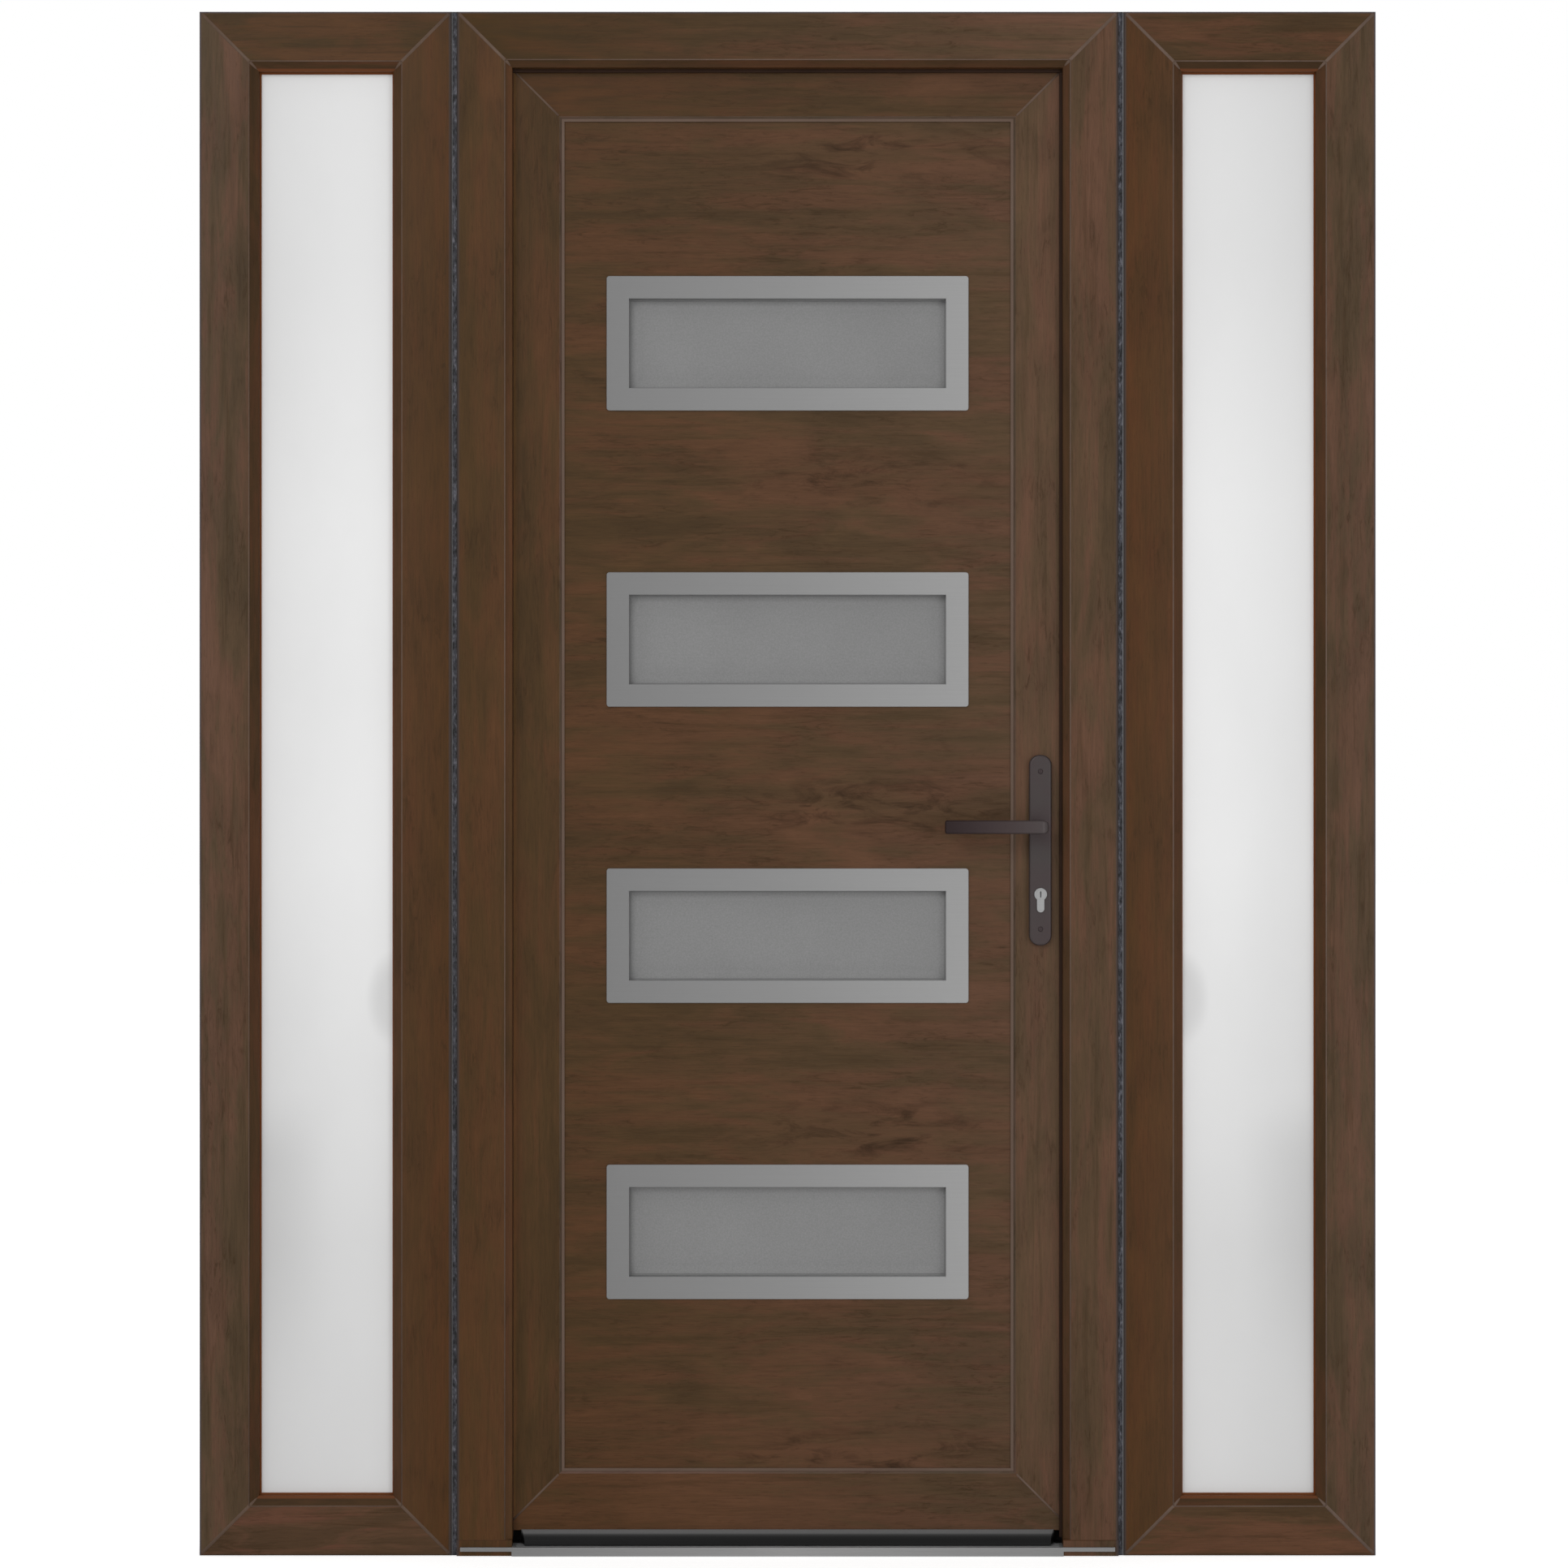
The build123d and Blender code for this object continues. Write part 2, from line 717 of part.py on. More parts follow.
# Gasket on the leaf's flange, on three sides
leaf_seal_outline = [
    (-flange_width + leaf_seal_inset, flange_front - seal_thickness),
    (-flange_width + leaf_seal_inset + leaf_seal_width, flange_front - seal_thickness),
    (-flange_width + leaf_seal_inset + leaf_seal_width, flange_front),
    (-flange_width + leaf_seal_inset, flange_front),
]
leaf_seal_bars = [
    mitred_bar(leaf_seal_outline, (-leaf_edge, 0, leaf_clear_floor), (1, 0, 0), leaf_height,
               mitres=(False, True), extra=(0, flange_width), gap=bead_gap),
    mitred_bar(leaf_seal_outline, (-leaf_edge, 0, leaf_top), (0, 0, -1), leaf_width,
               extra=(flange_width, flange_width), gap=bead_gap),
    mitred_bar(leaf_seal_outline, (leaf_edge, 0, leaf_top), (-1, 0, 0), leaf_height,
               mitres=(True, False), extra=(flange_width, 0), gap=bead_gap),
]
with BuildPart() as leaf_gasket:
    add(leaf_seal_bars)
finish(leaf_gasket.part, "leaf_gasket")


# Profile cylinder through the stile and both plates, with the bore of its turning plug
cylinder_length = sash_depth + 2 * (plate_thickness + cylinder_proud)
cylinder_front = sash_front - plate_thickness - cylinder_proud
with BuildPart() as lock_cylinder:
    with BuildSketch(facing_out(cylinder_front + cylinder_length)):
        with Locations((lever_x, cylinder_z)):
            add(euro_profile(0))
    extrude(amount=cylinder_length)
    with BuildSketch(facing_out(cylinder_front)):
        with Locations((lever_x, cylinder_z)):
            Circle(plug_radius + plug_clear)
    extrude(amount=-plug_length, mode=Mode.SUBTRACT)
    with BuildSketch(facing_out(cylinder_front + cylinder_length)):
        with Locations((lever_x, cylinder_z)):
            Rectangle(key_slot_width, key_slot_height)
    extrude(amount=key_slot_depth, mode=Mode.SUBTRACT)
finish(lock_cylinder.part, "lock_cylinder")

with BuildPart() as key_plug:
    with BuildSketch(facing_out(cylinder_front + plug_length - plug_clear)):
        with Locations((lever_x, cylinder_z)):
            Circle(plug_radius)
    extrude(amount=plug_length - plug_clear + plug_proud)
    with BuildSketch(facing_out(cylinder_front - plug_proud)):
        with Locations((lever_x, cylinder_z)):
            Rectangle(key_slot_width, key_slot_height)
    extrude(amount=-key_slot_depth, mode=Mode.SUBTRACT)
finish(key_plug.part, "key_plug")


# Handle: a backplate and a lever on each side, on one square spindle
with BuildPart() as handle_plate_outside:
    with BuildSketch(facing_out(sash_front)):
        with Locations((lever_x, plate_z)):
            RectangleRounded(plate_width, plate_height, plate_corner)
    extrude(amount=plate_thickness)
    fillet(handle_plate_outside.faces().sort_by(Axis.Y)[0].edges(), radius=plate_round)
    with BuildSketch(facing_out(sash_front - plate_thickness)):
        with Locations((lever_x, plate_z)):
            with GridLocations(1, screw_spacing, 1, 2):
                Circle(screw_recess_radius)
    extrude(amount=-screw_recess_depth, mode=Mode.SUBTRACT)
    with BuildSketch(facing_out(sash_front)):
        with Locations((lever_x, lever_height)):
            Circle(neck_radius + neck_clear)
        with Locations((lever_x, cylinder_z)):
            add(euro_profile(cylinder_fit))
    extrude(amount=plate_thickness, mode=Mode.SUBTRACT)
finish(handle_plate_outside.part, "handle_plate_outside")

with BuildPart() as handle_plate_inside:
    mirror(handle_plate_outside.part, about=sash_middle)
finish(handle_plate_inside.part, "handle_plate_inside")

# The lever is one bent bar with a half-round end, on a round collar that turns in the plate
lever_back = sash_front - plate_thickness - lever_stand
lever_front = lever_back - lever_thickness
lever_tip = lever_x - lever_reach
lever_low = lever_height - lever_face / 2
lever_high = lever_height + lever_face / 2
neck_left = lever_x - neck_radius
neck_right = lever_x + neck_radius
collar_front = sash_front - plate_thickness - collar_height
with BuildPart() as lever_outside:
    with BuildSketch(Plane.XY.offset(lever_low)) as lever_plan:
        with BuildLine():
            Polyline(
                (lever_tip, lever_front + lever_taper),
                (neck_right, lever_front),
                (neck_right, collar_front),
                (neck_left, collar_front),
                (neck_left, lever_back),
                (lever_tip, lever_back),
                close=True,
            )
        make_face()
        outer_elbow = lever_plan.vertices().group_by(Axis.X)[-1].sort_by(Axis.Y)[0]
        fillet(outer_elbow, radius=lever_elbow)
        inner_elbow = lever_plan.vertices().sort_by_distance((neck_left, lever_back, lever_low))[0]
        fillet(inner_elbow, radius=lever_inner_elbow)
    extrude(amount=lever_face)
    with BuildSketch(facing_out(collar_front)):
        with BuildLine():
            Polyline((lever_x, lever_high), (lever_tip, lever_high), (lever_tip, lever_low), (lever_x, lever_low))
            ThreePointArc((lever_x, lever_low), (lever_x + lever_face / 2, lever_height), (lever_x, lever_high))
        make_face()
    extrude(amount=collar_front - lever_front, mode=Mode.INTERSECT)
    bar_edges = lever_outside.edges().filter_by(lambda edge: edge.center().Y < collar_front - neck_clear)
    fillet(bar_edges, radius=lever_edge_round)
    with BuildSketch(facing_out(sash_front - neck_seat)):
        with Locations((lever_x, lever_height)):
            Circle(neck_radius)
    extrude(amount=plate_thickness + collar_height - neck_seat)
    with BuildSketch(facing_out(sash_front - neck_seat)):
        with Locations((lever_x, lever_height)):
            Rectangle(spindle_side + 2 * spindle_fit, spindle_side + 2 * spindle_fit)
    extrude(amount=spindle_hold, mode=Mode.SUBTRACT)
finish(lever_outside.part, "lever_outside")

with BuildPart() as lever_inside:
    mirror(lever_outside.part, about=sash_middle)
finish(lever_inside.part, "lever_inside")

spindle_length = sash_depth + 2 * spindle_hold
with BuildPart() as spindle:
    with BuildSketch(facing_out(sash_back + spindle_hold)):
        with Locations((lever_x, lever_height)):
            Rectangle(spindle_side, spindle_side)
    extrude(amount=spindle_length)
finish(spindle.part, "spindle")


# Three door hinges inside: a bracket with two barrels on the frame, one barrel on the leaf, and a pin
frame_barrel = (hinge_length - leaf_barrel_length) / 2 - hinge_axial_gap
frame_plate_right = -(leaf_edge + flange_width + hinge_plate_gap)
frame_plate_left = -door_edge + 3
with BuildPart() as hinge_brackets:
    for height in hinge_heights:
        low = height - hinge_length / 2
        with BuildSketch(Plane.XY.offset(low)):
            with Locations(((frame_plate_left + frame_plate_right) / 2, inside + hinge_plate / 2)):
                Rectangle(frame_plate_right - frame_plate_left, hinge_plate)
        extrude(amount=hinge_length)
        for barrel_low in (low, low + hinge_length - frame_barrel):
            with BuildSketch(Plane.XY.offset(barrel_low)):
                with BuildLine():
                    Polyline(
                        (frame_plate_right, inside),
                        (frame_plate_right, hinge_y - hinge_radius / 2),
                        (hinge_x, hinge_y),
                        (hinge_x - hinge_radius, hinge_y),
                        (frame_plate_right - hinge_block_width, inside + hinge_plate),
                        (frame_plate_right - hinge_block_width, inside),
                        close=True,
                    )
                make_face()
                with Locations((hinge_x, hinge_y)):
                    Circle(hinge_radius)
            extrude(amount=frame_barrel)
    for height in hinge_heights:
        with BuildSketch(Plane.XY.offset(height - hinge_length / 2)):
            with Locations((hinge_x, hinge_y)):
                Circle(hinge_pin)
        extrude(amount=hinge_length)
        for direction in (-1, 1):
            with BuildSketch(Plane.XY.offset(height + direction * hinge_length / 2)):
                with Locations((hinge_x, hinge_y)):
                    Circle(hinge_cap_radius)
            extrude(amount=direction * hinge_cap_height, taper=hinge_cap_taper)
finish(hinge_brackets.part, "hinge_brackets")

leaf_plate_left = -(leaf_edge + flange_width) + 2
with BuildPart() as hinge_leaves:
    for height in hinge_heights:
        with BuildSketch(Plane.XY.offset(height - leaf_barrel_length / 2)):
            with Locations((hinge_x, hinge_y)):
                Circle(hinge_radius)
            with Locations((hinge_x + hinge_arm_reach / 2, hinge_y - 1 - hinge_arm / 2)):
                Rectangle(hinge_arm_reach, hinge_arm)
            with Locations((leaf_plate_left + hinge_leaf_plate_width / 2, sash_back + hinge_plate / 2)):
                Rectangle(hinge_leaf_plate_width, hinge_plate)
            with Locations((hinge_x, hinge_y)):
                Circle(hinge_pin + hinge_clear, mode=Mode.SUBTRACT)
        extrude(amount=leaf_barrel_length)
        with BuildSketch(Plane.XY.offset(height - hinge_length / 2)):
            with Locations((leaf_plate_left + hinge_leaf_plate_width / 2, sash_back + hinge_plate / 2)):
                Rectangle(hinge_leaf_plate_width, hinge_plate)
        extrude(amount=hinge_length)
finish(hinge_leaves.part, "hinge_leaves")
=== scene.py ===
import math

import bmesh
import bpy
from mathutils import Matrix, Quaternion, Vector


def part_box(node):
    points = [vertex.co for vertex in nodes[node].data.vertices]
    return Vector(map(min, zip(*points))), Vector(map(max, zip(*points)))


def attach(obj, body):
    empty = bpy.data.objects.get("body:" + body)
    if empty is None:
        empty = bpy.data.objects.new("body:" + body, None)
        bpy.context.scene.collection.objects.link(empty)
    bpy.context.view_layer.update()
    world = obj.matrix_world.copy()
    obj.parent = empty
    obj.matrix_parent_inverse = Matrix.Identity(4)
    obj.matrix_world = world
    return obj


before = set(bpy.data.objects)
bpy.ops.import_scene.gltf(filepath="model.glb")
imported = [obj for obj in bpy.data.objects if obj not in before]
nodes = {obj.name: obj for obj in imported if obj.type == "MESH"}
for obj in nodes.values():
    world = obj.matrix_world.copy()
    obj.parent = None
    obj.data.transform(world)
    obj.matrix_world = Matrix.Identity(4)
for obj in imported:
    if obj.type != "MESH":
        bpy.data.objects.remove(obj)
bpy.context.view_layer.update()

scene = bpy.context.scene
millimetre = 0.001
place_tolerance = 0.05 * millimetre


# Places taken from the frame, in metres
def corners(node):
    """Lowest and highest corner of a CAD node."""
    low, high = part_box(node)
    return Vector(low), Vector(high)


def lowest(node, axis, other, place):
    """Lowest value along one axis among a node's vertices that lie at a place along another."""
    vertices = nodes[node].data.vertices
    return min(v.co[axis] for v in vertices if abs(v.co[other] - place) < place_tolerance)


light_low = corners("left_light_outer_jamb")[0]
light_head_low = corners("left_light_head")[0]
light_bead_low = corners("left_light_beads")[0]
frame_low, frame_high = corners("frame_head")
block_high = corners("threshold_blocks")[1]
sash_high = corners("top_rail")[1]
leaf_low, leaf_high = corners("bottom_rail")
coupler_high = corners("couplers")[1]
trim_low, trim_high = corners("window_trims_outside")
plate_low, plate_high = corners("handle_plate_outside")
inner_plate_high = corners("handle_plate_inside")[1]
lever_low, lever_high = corners("lever_outside")
faceplate_low, faceplate_high = corners("door_lock")
drip_low, drip_high = corners("drip_bar")
bracket_low, bracket_high = corners("hinge_brackets")
hinge_leaf_low, hinge_leaf_high = corners("hinge_leaves")
strike_low, strike_high = corners("strike_plate")

outside = frame_low.y
inside = frame_high.y
set_edge = -light_low.x
set_top = frame_high.z
light_edge = coupler_high.x
door_edge = frame_high.x
leaf_edge = leaf_high.x
sash_front = leaf_low.y
sash_back = leaf_high.y
flange = sash_high.x - leaf_edge
leaf_top = sash_high.z - flange
sash_inside_width = 60 * millimetre

# A section is a list of (distance inward from the outline, depth)
light_section = [
    (0, outside), (set_top - lowest("left_light_head", 2, 1, outside), outside),
    (set_top - light_head_low.z, lowest("left_light_head", 1, 2, light_head_low.z)),
]
frame_section = [
    (0, outside), (set_top - lowest("frame_head", 2, 1, outside), outside),
    (set_top - frame_low.z, lowest("frame_head", 1, 2, frame_low.z)),
]
sash_section = [(-flange, sash_front), (leaf_top - lowest("top_rail", 2, 1, sash_front), sash_front)]
light_inside_section = [(0, inside), (light_bead_low.x - light_low.x, inside)]
frame_inside_section = [(0, inside), (frame_section[-1][0] - (door_edge - strike_low.x), inside)]
sash_inside_section = [(-flange, sash_back), (sash_inside_width, sash_back)]


# Material helpers
def linear(red, green, blue):
    """A colour written as 0 to 255 screen values, as the linear values that nodes use."""
    values = [c / 255 for c in (red, green, blue)]
    return [c / 12.92 if c <= 0.04045 else ((c + 0.055) / 1.055) ** 2.4 for c in values] + [1.0]


def grey(value):
    return linear(value, value, value)


class Graph:
    """One procedural material, built node by node."""

    def __init__(self, name, **surface):
        self.material = bpy.data.materials.new(name)
        self.material.use_nodes = True
        self.tree = self.material.node_tree
        self.shader = self.tree.nodes["Principled BSDF"]
        for socket, value in surface.items():
            self.shader.inputs[socket.replace("_", " ")].default_value = value

    def put(self, socket, value):
        """Links a value to a socket, or writes it there."""
        if isinstance(value, bpy.types.NodeSocket):
            self.tree.links.new(value, socket)
        else:
            socket.default_value = value

    def add(self, kind, inputs=None, **settings):
        """Adds a node. An input is a value, or another node's output socket."""
        node = self.tree.nodes.new("ShaderNode" + kind)
        for name, value in settings.items():
            setattr(node, name, value)
        for name, value in (inputs or {}).items():
            self.put(node.inputs[name], value)
        return node

    def noise(self, scale, shift=(0, 0, 0), detail=4.0, roughness=0.5, distortion=0.0):
        """Noise from 0 to 1 in object coordinates, with a frequency per metre for each axis."""
        place = self.add("TexCoord").outputs["Object"]
        vector = self.add("Mapping", {"Vector": place, "Scale": scale, "Location": shift}).outputs["Vector"]
        settings = {"Vector": vector, "Scale": 1.0, "Detail": detail, "Roughness": roughness,
                    "Distortion": distortion}
        return self.add("TexNoise", settings).outputs["Fac"]

    def spread(self, value, low, high, to_low=0.0, to_high=1.0, smooth=False):
        """Maps low..high of a value to to_low..to_high, clamped."""
        inputs = {"Value": value, "From Min": low, "From Max": high, "To Min": to_low, "To Max": to_high}
        kind = "SMOOTHSTEP" if smooth else "LINEAR"
        return self.add("MapRange", inputs, clamp=True, interpolation_type=kind).outputs["Result"]

    def math(self, operation, first, second=0.0):
        """One arithmetic step on two values."""
        node = self.add("Math", operation=operation)
        self.put(node.inputs[0], first)
        self.put(node.inputs[1], second)
        return node.outputs[0]

    def mix(self, factor, first, second, blend="MIX"):
        """Blends two colours."""
        node = self.add("Mix", data_type="RGBA", blend_type=blend)
        for number, value in ((0, factor), (6, first), (7, second)):
            self.put(node.inputs[number], value)
        return node.outputs[2]

    def shade(self, colour, factor):
        """Multiplies a colour by a value."""
        channels = {"Red": factor, "Green": factor, "Blue": factor}
        return self.mix(1.0, colour, self.add("CombineColor", channels).outputs["Color"], "MULTIPLY")

    def ramp(self, value, stops):
        """Colour ramp through (position, colour) stops."""
        node = self.add("ValToRGB", {"Fac": value})
        while len(node.color_ramp.elements) < len(stops):
            node.color_ramp.elements.new(0.5)
        for element, (position, colour) in zip(node.color_ramp.elements, stops):
            element.position = position
            element.color = colour
        return node.outputs["Color"]

    def axis(self, letter, output="Object"):
        """One object coordinate, or one component of the surface's direction with output Normal."""
        coordinates = self.add("TexCoord").outputs[output]
        return self.add("SeparateXYZ", {"Vector": coordinates}).outputs[letter]

    def set(self, socket, value):
        """Links a value to one of the shader's sockets."""
        self.tree.links.new(value, self.shader.inputs[socket])

    def bump(self, height, strength, distance):
        """Raises the surface by a height pattern."""
        node = self.add("Bump", {"Height": height, "Strength": strength, "Distance": distance})
        self.set("Normal", node.outputs["Normal"])


def dress(material, *names):
    """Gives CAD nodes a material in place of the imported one."""
    for name in names:
        for slot_of_node in nodes[name].material_slots:
            slot_of_node.material = material


# Walnut foil: olive and russet patches, darker flecks, fine fibres and pores that run along the member
sheen_share = 0.008
foil_headroom = 1.4
patch_weight = 0.5
streak_weight = 0.2
band_weight = 0.36
tone_offset = 0.03
streak_strength = 0.3
fleck_strength = 0.6
pore_strength = 0.28
halo_strength = 0.3
# Warm tones, and greyer, lighter tones that add a painted sheen: the white light the foil reflects, painted
# on from one side.
warm_door = (79, 57, 37)
painted_sheen_door = (90, 69, 54)
warm_light = (79, 54, 34)
painted_sheen_light = (88, 69, 55)
# Painted shade: purple-grey along the set's outer sides and top, the shade of their rounded corners.
outer_edge_shade = (72, 64, 66)
streak_brown = (66, 49, 33)
fleck_brown = (58, 43, 28)
knot_brown = (50, 36, 23)
knot_halo = (95, 67, 50)
caramel_brown = (97, 56, 30)
glass_inset = light_section[-1][0]
caramel_start = glass_inset - 4.2 * millimetre
caramel_full = glass_inset - 2.6 * millimetre
edge_shade_start = set_edge - 3.2 * millimetre
edge_shade_full = set_edge - 1.92 * millimetre
# A darker tone beside the couplers between the side-lights and the door frame.
joint_dark_tone = (64, 55, 52)
joint_middle = (light_edge + door_edge) / 2
joint_half = (light_edge - door_edge) / 2
joint_dark_start = joint_half + 4.5 * millimetre
joint_dark_full = joint_half + 2 * millimetre


def foil(red, green, blue, headroom=1.0):
    """A colour of the foil, less the sheen that the light adds."""
    return [max(c - sheen_share, 0.002) * headroom for c in linear(red, green, blue)[:3]] + [1.0]


def patch(red, green, blue):
    """A patch's factor on the foil's colour, which was raised by the headroom for the lighter patches."""
    return [red / foil_headroom, green / foil_headroom, blue / foil_headroom, 1.0]


def walnut(name, along, shift, first, last, span, bevel, knots=False, caramel=False, gap_painted_light=None,
           contrast=1.0):
    """Foil with its grain along X or Z. Its tone goes from first to last along X over the span, a painted
    sheen where the two differ, and sloping faces have the tone bevel, painted shade on the frames and a
    painted highlight on the leaf. Knots adds the panel's repeated knots and caramel the lip beside the glass.
    The lift, (start, end, factor), is painted light: the foil grows lighter from start to end along X,
    against the shade in the gap beside the leaf. Contrast scales the strength of the patches and streaks."""
    graph = Graph(name, Specular_IOR_Level=0.12)

    def grain(across, pull, **options):
        scale = {"X": (pull, across, across), "Z": (across, across, pull)}[along]
        return graph.noise(scale, shift, **options)

    bands = grain(20, 1.8, detail=2.0, roughness=0.5, distortion=0.5)
    patches = grain(30, 5.5, detail=7.0, roughness=0.62, distortion=1.1)
    streaks = grain(110, 5, detail=5.0, roughness=0.62, distortion=0.4)
    fibres = grain(460, 22, detail=4.0, roughness=0.7)
    pores = grain(760, 70, detail=1.0)
    clouds = grain(15, 6, detail=3.0, roughness=0.5, distortion=0.8)
    flecks = grain(150, 24, detail=6.0, roughness=0.7, distortion=1.2)

    # Painted sheen: the tone runs from first to last along X.
    across = graph.spread(graph.axis("X"), *span)
    base = graph.mix(across, foil(*first, foil_headroom), foil(*last, foil_headroom))
    # Painted shade: faces that turn away from the front take the bevel tone, which is darker on the frames
    # and lighter on the leaf, a painted highlight there.
    flat = graph.spread(graph.math("ABSOLUTE", graph.axis("Y", "Normal")), 0.86, 0.95)
    base = graph.mix(flat, foil(*bevel, foil_headroom), base)
    tone = graph.math("ADD", graph.math("MULTIPLY", patches, patch_weight),
                      graph.math("MULTIPLY", streaks, streak_weight))
    tone = graph.math("ADD", tone, graph.math("MULTIPLY", bands, band_weight))
    tone = graph.math("SUBTRACT", tone, tone_offset)
    tone = graph.math("ADD", graph.math("MULTIPLY", graph.math("SUBTRACT", tone, 0.5), contrast), 0.5)
    pattern = graph.ramp(tone, [
        (0.38, patch(0.74, 0.82, 0.72)), (0.45, patch(0.88, 0.95, 0.87)), (0.50, patch(1.0, 1.01, 0.98)),
        (0.55, patch(1.12, 1.02, 1.03)), (0.64, patch(1.28, 1.15, 1.22)),
    ])
    colour = graph.mix(1.0, base, pattern, "MULTIPLY")
    colour = graph.shade(colour, graph.spread(clouds, 0.32, 0.68, 0.90, 1.10))
    grain_lines = graph.math("MULTIPLY", graph.spread(streaks, 0.45, 0.34), contrast * streak_strength)
    colour = graph.mix(grain_lines, colour, foil(*streak_brown))
    colour = graph.shade(colour, graph.spread(fibres, 0.3, 0.7, 0.87, 1.14))
    place = graph.math("MULTIPLY", graph.spread(clouds, 0.54, 0.42), fleck_strength)
    dark = graph.math("MULTIPLY", graph.spread(flecks, 0.52, 0.66), place)
    colour = graph.mix(dark, colour, foil(*fleck_brown))
    if knots:
        marks = grain(42, 11, detail=7.0, roughness=0.66, distortion=1.1)
        near = knot_places(graph)
        colour = graph.mix(graph.math("MULTIPLY", near, halo_strength), colour, foil(*knot_halo))
        dark = graph.math("MULTIPLY", graph.spread(marks, 0.5, 0.68), near)
        colour = graph.mix(dark, colour, foil(*knot_brown))
    pits = graph.spread(pores, 0.62, 0.72, 0.0, pore_strength)
    colour = graph.mix(pits, colour, foil(*fleck_brown))
    # Painted shade along the set's outer sides and top edge.
    reach = graph.math("ABSOLUTE", graph.axis("X"))
    rim = graph.math("MAXIMUM", reach, graph.math("SUBTRACT", graph.axis("Z"), set_top - set_edge))
    core = graph.spread(rim, edge_shade_start, edge_shade_full)
    colour = graph.mix(core, colour, linear(*outer_edge_shade))
    # Darker towards the couplers.
    from_joint = graph.math("ABSOLUTE", graph.math("SUBTRACT", reach, joint_middle))
    joint = graph.spread(from_joint, joint_dark_start, joint_dark_full)
    colour = graph.mix(joint, colour, linear(*joint_dark_tone))
    if caramel:
        inset = graph.math("MINIMUM", graph.axis("Z"), graph.math("SUBTRACT", set_top, graph.axis("Z")))
        lip = graph.spread(inset, caramel_start, caramel_full)
        colour = graph.mix(lip, colour, linear(*caramel_brown))
    # Painted light: the foil grows lighter towards the leaf's hinge-side gap, against the shade there.
    if gap_painted_light:
        start, end, lift = gap_painted_light
        colour = graph.shade(colour, graph.spread(graph.axis("X"), start, end, 1.0, lift, smooth=True))
    graph.set("Base Color", colour)
    graph.set("Roughness", graph.spread(fibres, 0.3, 0.7, 0.4, 0.52))
    graph.bump(graph.math("SUBTRACT", fibres, graph.math("MULTIPLY", pits, 1.5)), 0.3, 0.12 * millimetre)
    return graph.material


knot_pitch = 445 * millimetre
lowest_knot = 129 * millimetre
knot_x = 120 * millimetre
knot_reach = 230 * millimetre
knot_half_height = 46 * millimetre


def knot_places(graph):
    """Where the panel's print has its knots: one cluster repeated up the panel."""
    above = graph.math("SUBTRACT", graph.axis("Z"), lowest_knot - knot_pitch / 2)
    height = graph.math("FLOORED_MODULO", above, knot_pitch)
    up = graph.math("DIVIDE", graph.math("SUBTRACT", height, knot_pitch / 2), knot_half_height)
    along = graph.math("DIVIDE", graph.math("SUBTRACT", graph.axis("X"), knot_x), knot_reach)
    distance = graph.math("ADD", graph.math("MULTIPLY", up, up), graph.math("MULTIPLY", along, along))
    return graph.spread(distance, 0.1, 1.1, 0.9, 0.0)


# Painted sheen: the door's members grow greyer and lighter from left to right.
door_tones = dict(first=warm_door, last=painted_sheen_door, span=(-door_edge, door_edge))
head_tones = dict(first=(68, 49, 28), last=(94, 72, 57), span=(-door_edge, door_edge))
rail_tones = dict(first=(74, 53, 33), last=(85, 64, 48), span=(-door_edge, door_edge))
lock_stile_tones = dict(first=warm_door, last=(96, 74, 59), span=(-door_edge, door_edge))
# Painted sheen: each side-light grows greyer and lighter towards its outer side.
light_tones = {
    "left": dict(first=painted_sheen_light, last=warm_light, span=(-set_edge, -light_edge)),
    "right": dict(first=warm_light, last=painted_sheen_light, span=(light_edge, set_edge)),
}
head_tone = {"left": (76, 56, 37), "right": (82, 60, 43)}
sill_tone = {"left": (91, 66, 51), "right": (86, 63, 46)}
# Bevel tones: painted shade on the frames' sloping faces and a painted highlight on the leaf's.
outer_bevel_shade = (73, 52, 36)
inner_bevel_shade = (76, 54, 38)
leaf_bevel_highlight = (94, 77, 66)
frame_bend = frame_section[1][0] - door_edge
frame_lip = frame_section[-1][0] - door_edge
# Painted light beside the leaf's hinge-side gap, against the shade in the gap.
hinge_gap_reach = 7.5 * millimetre
hinge_jamb_painted_light = 1.4
hinge_stile_painted_light = 1.9
for number, side in enumerate(("left", "right")):
    tones = light_tones[side]
    dress(walnut(f"{side}_outer_foil", "Z", (3.1 + number, 0.4, 1.7), bevel=outer_bevel_shade, contrast=1.3,
                 **tones),
          f"{side}_light_outer_jamb")
    dress(walnut(f"{side}_inner_foil", "Z", (5.3 + number, 2.4, 4.7), bevel=inner_bevel_shade, contrast=0.5,
                 **tones),
          f"{side}_light_inner_jamb")
    dress(walnut(f"{side}_head_foil", "X", (7.7, 1.2, 2.9 + number), bevel=outer_bevel_shade, contrast=1.8,
                 caramel=True, first=head_tone[side], last=head_tone[side], span=(-set_edge, set_edge)),
          f"{side}_light_head")
    dress(walnut(f"{side}_sill_foil", "X", (9.1, 1.2, 6.3 + number), bevel=outer_bevel_shade, contrast=1.8,
                 caramel=True, first=sill_tone[side], last=sill_tone[side], span=(-set_edge, set_edge)),
          f"{side}_light_sill")
    dress(walnut(f"{side}_bead_foil", "Z", (1.9, 3.3, number), bevel=inner_bevel_shade, **tones),
          f"{side}_light_beads")
dress(walnut("hinge_jamb_foil", "Z", (2.2, 0.1, 8.4), bevel=inner_bevel_shade, contrast=0.8,
             gap_painted_light=(frame_bend, frame_lip, hinge_jamb_painted_light), **door_tones),
      "hinge_jamb")
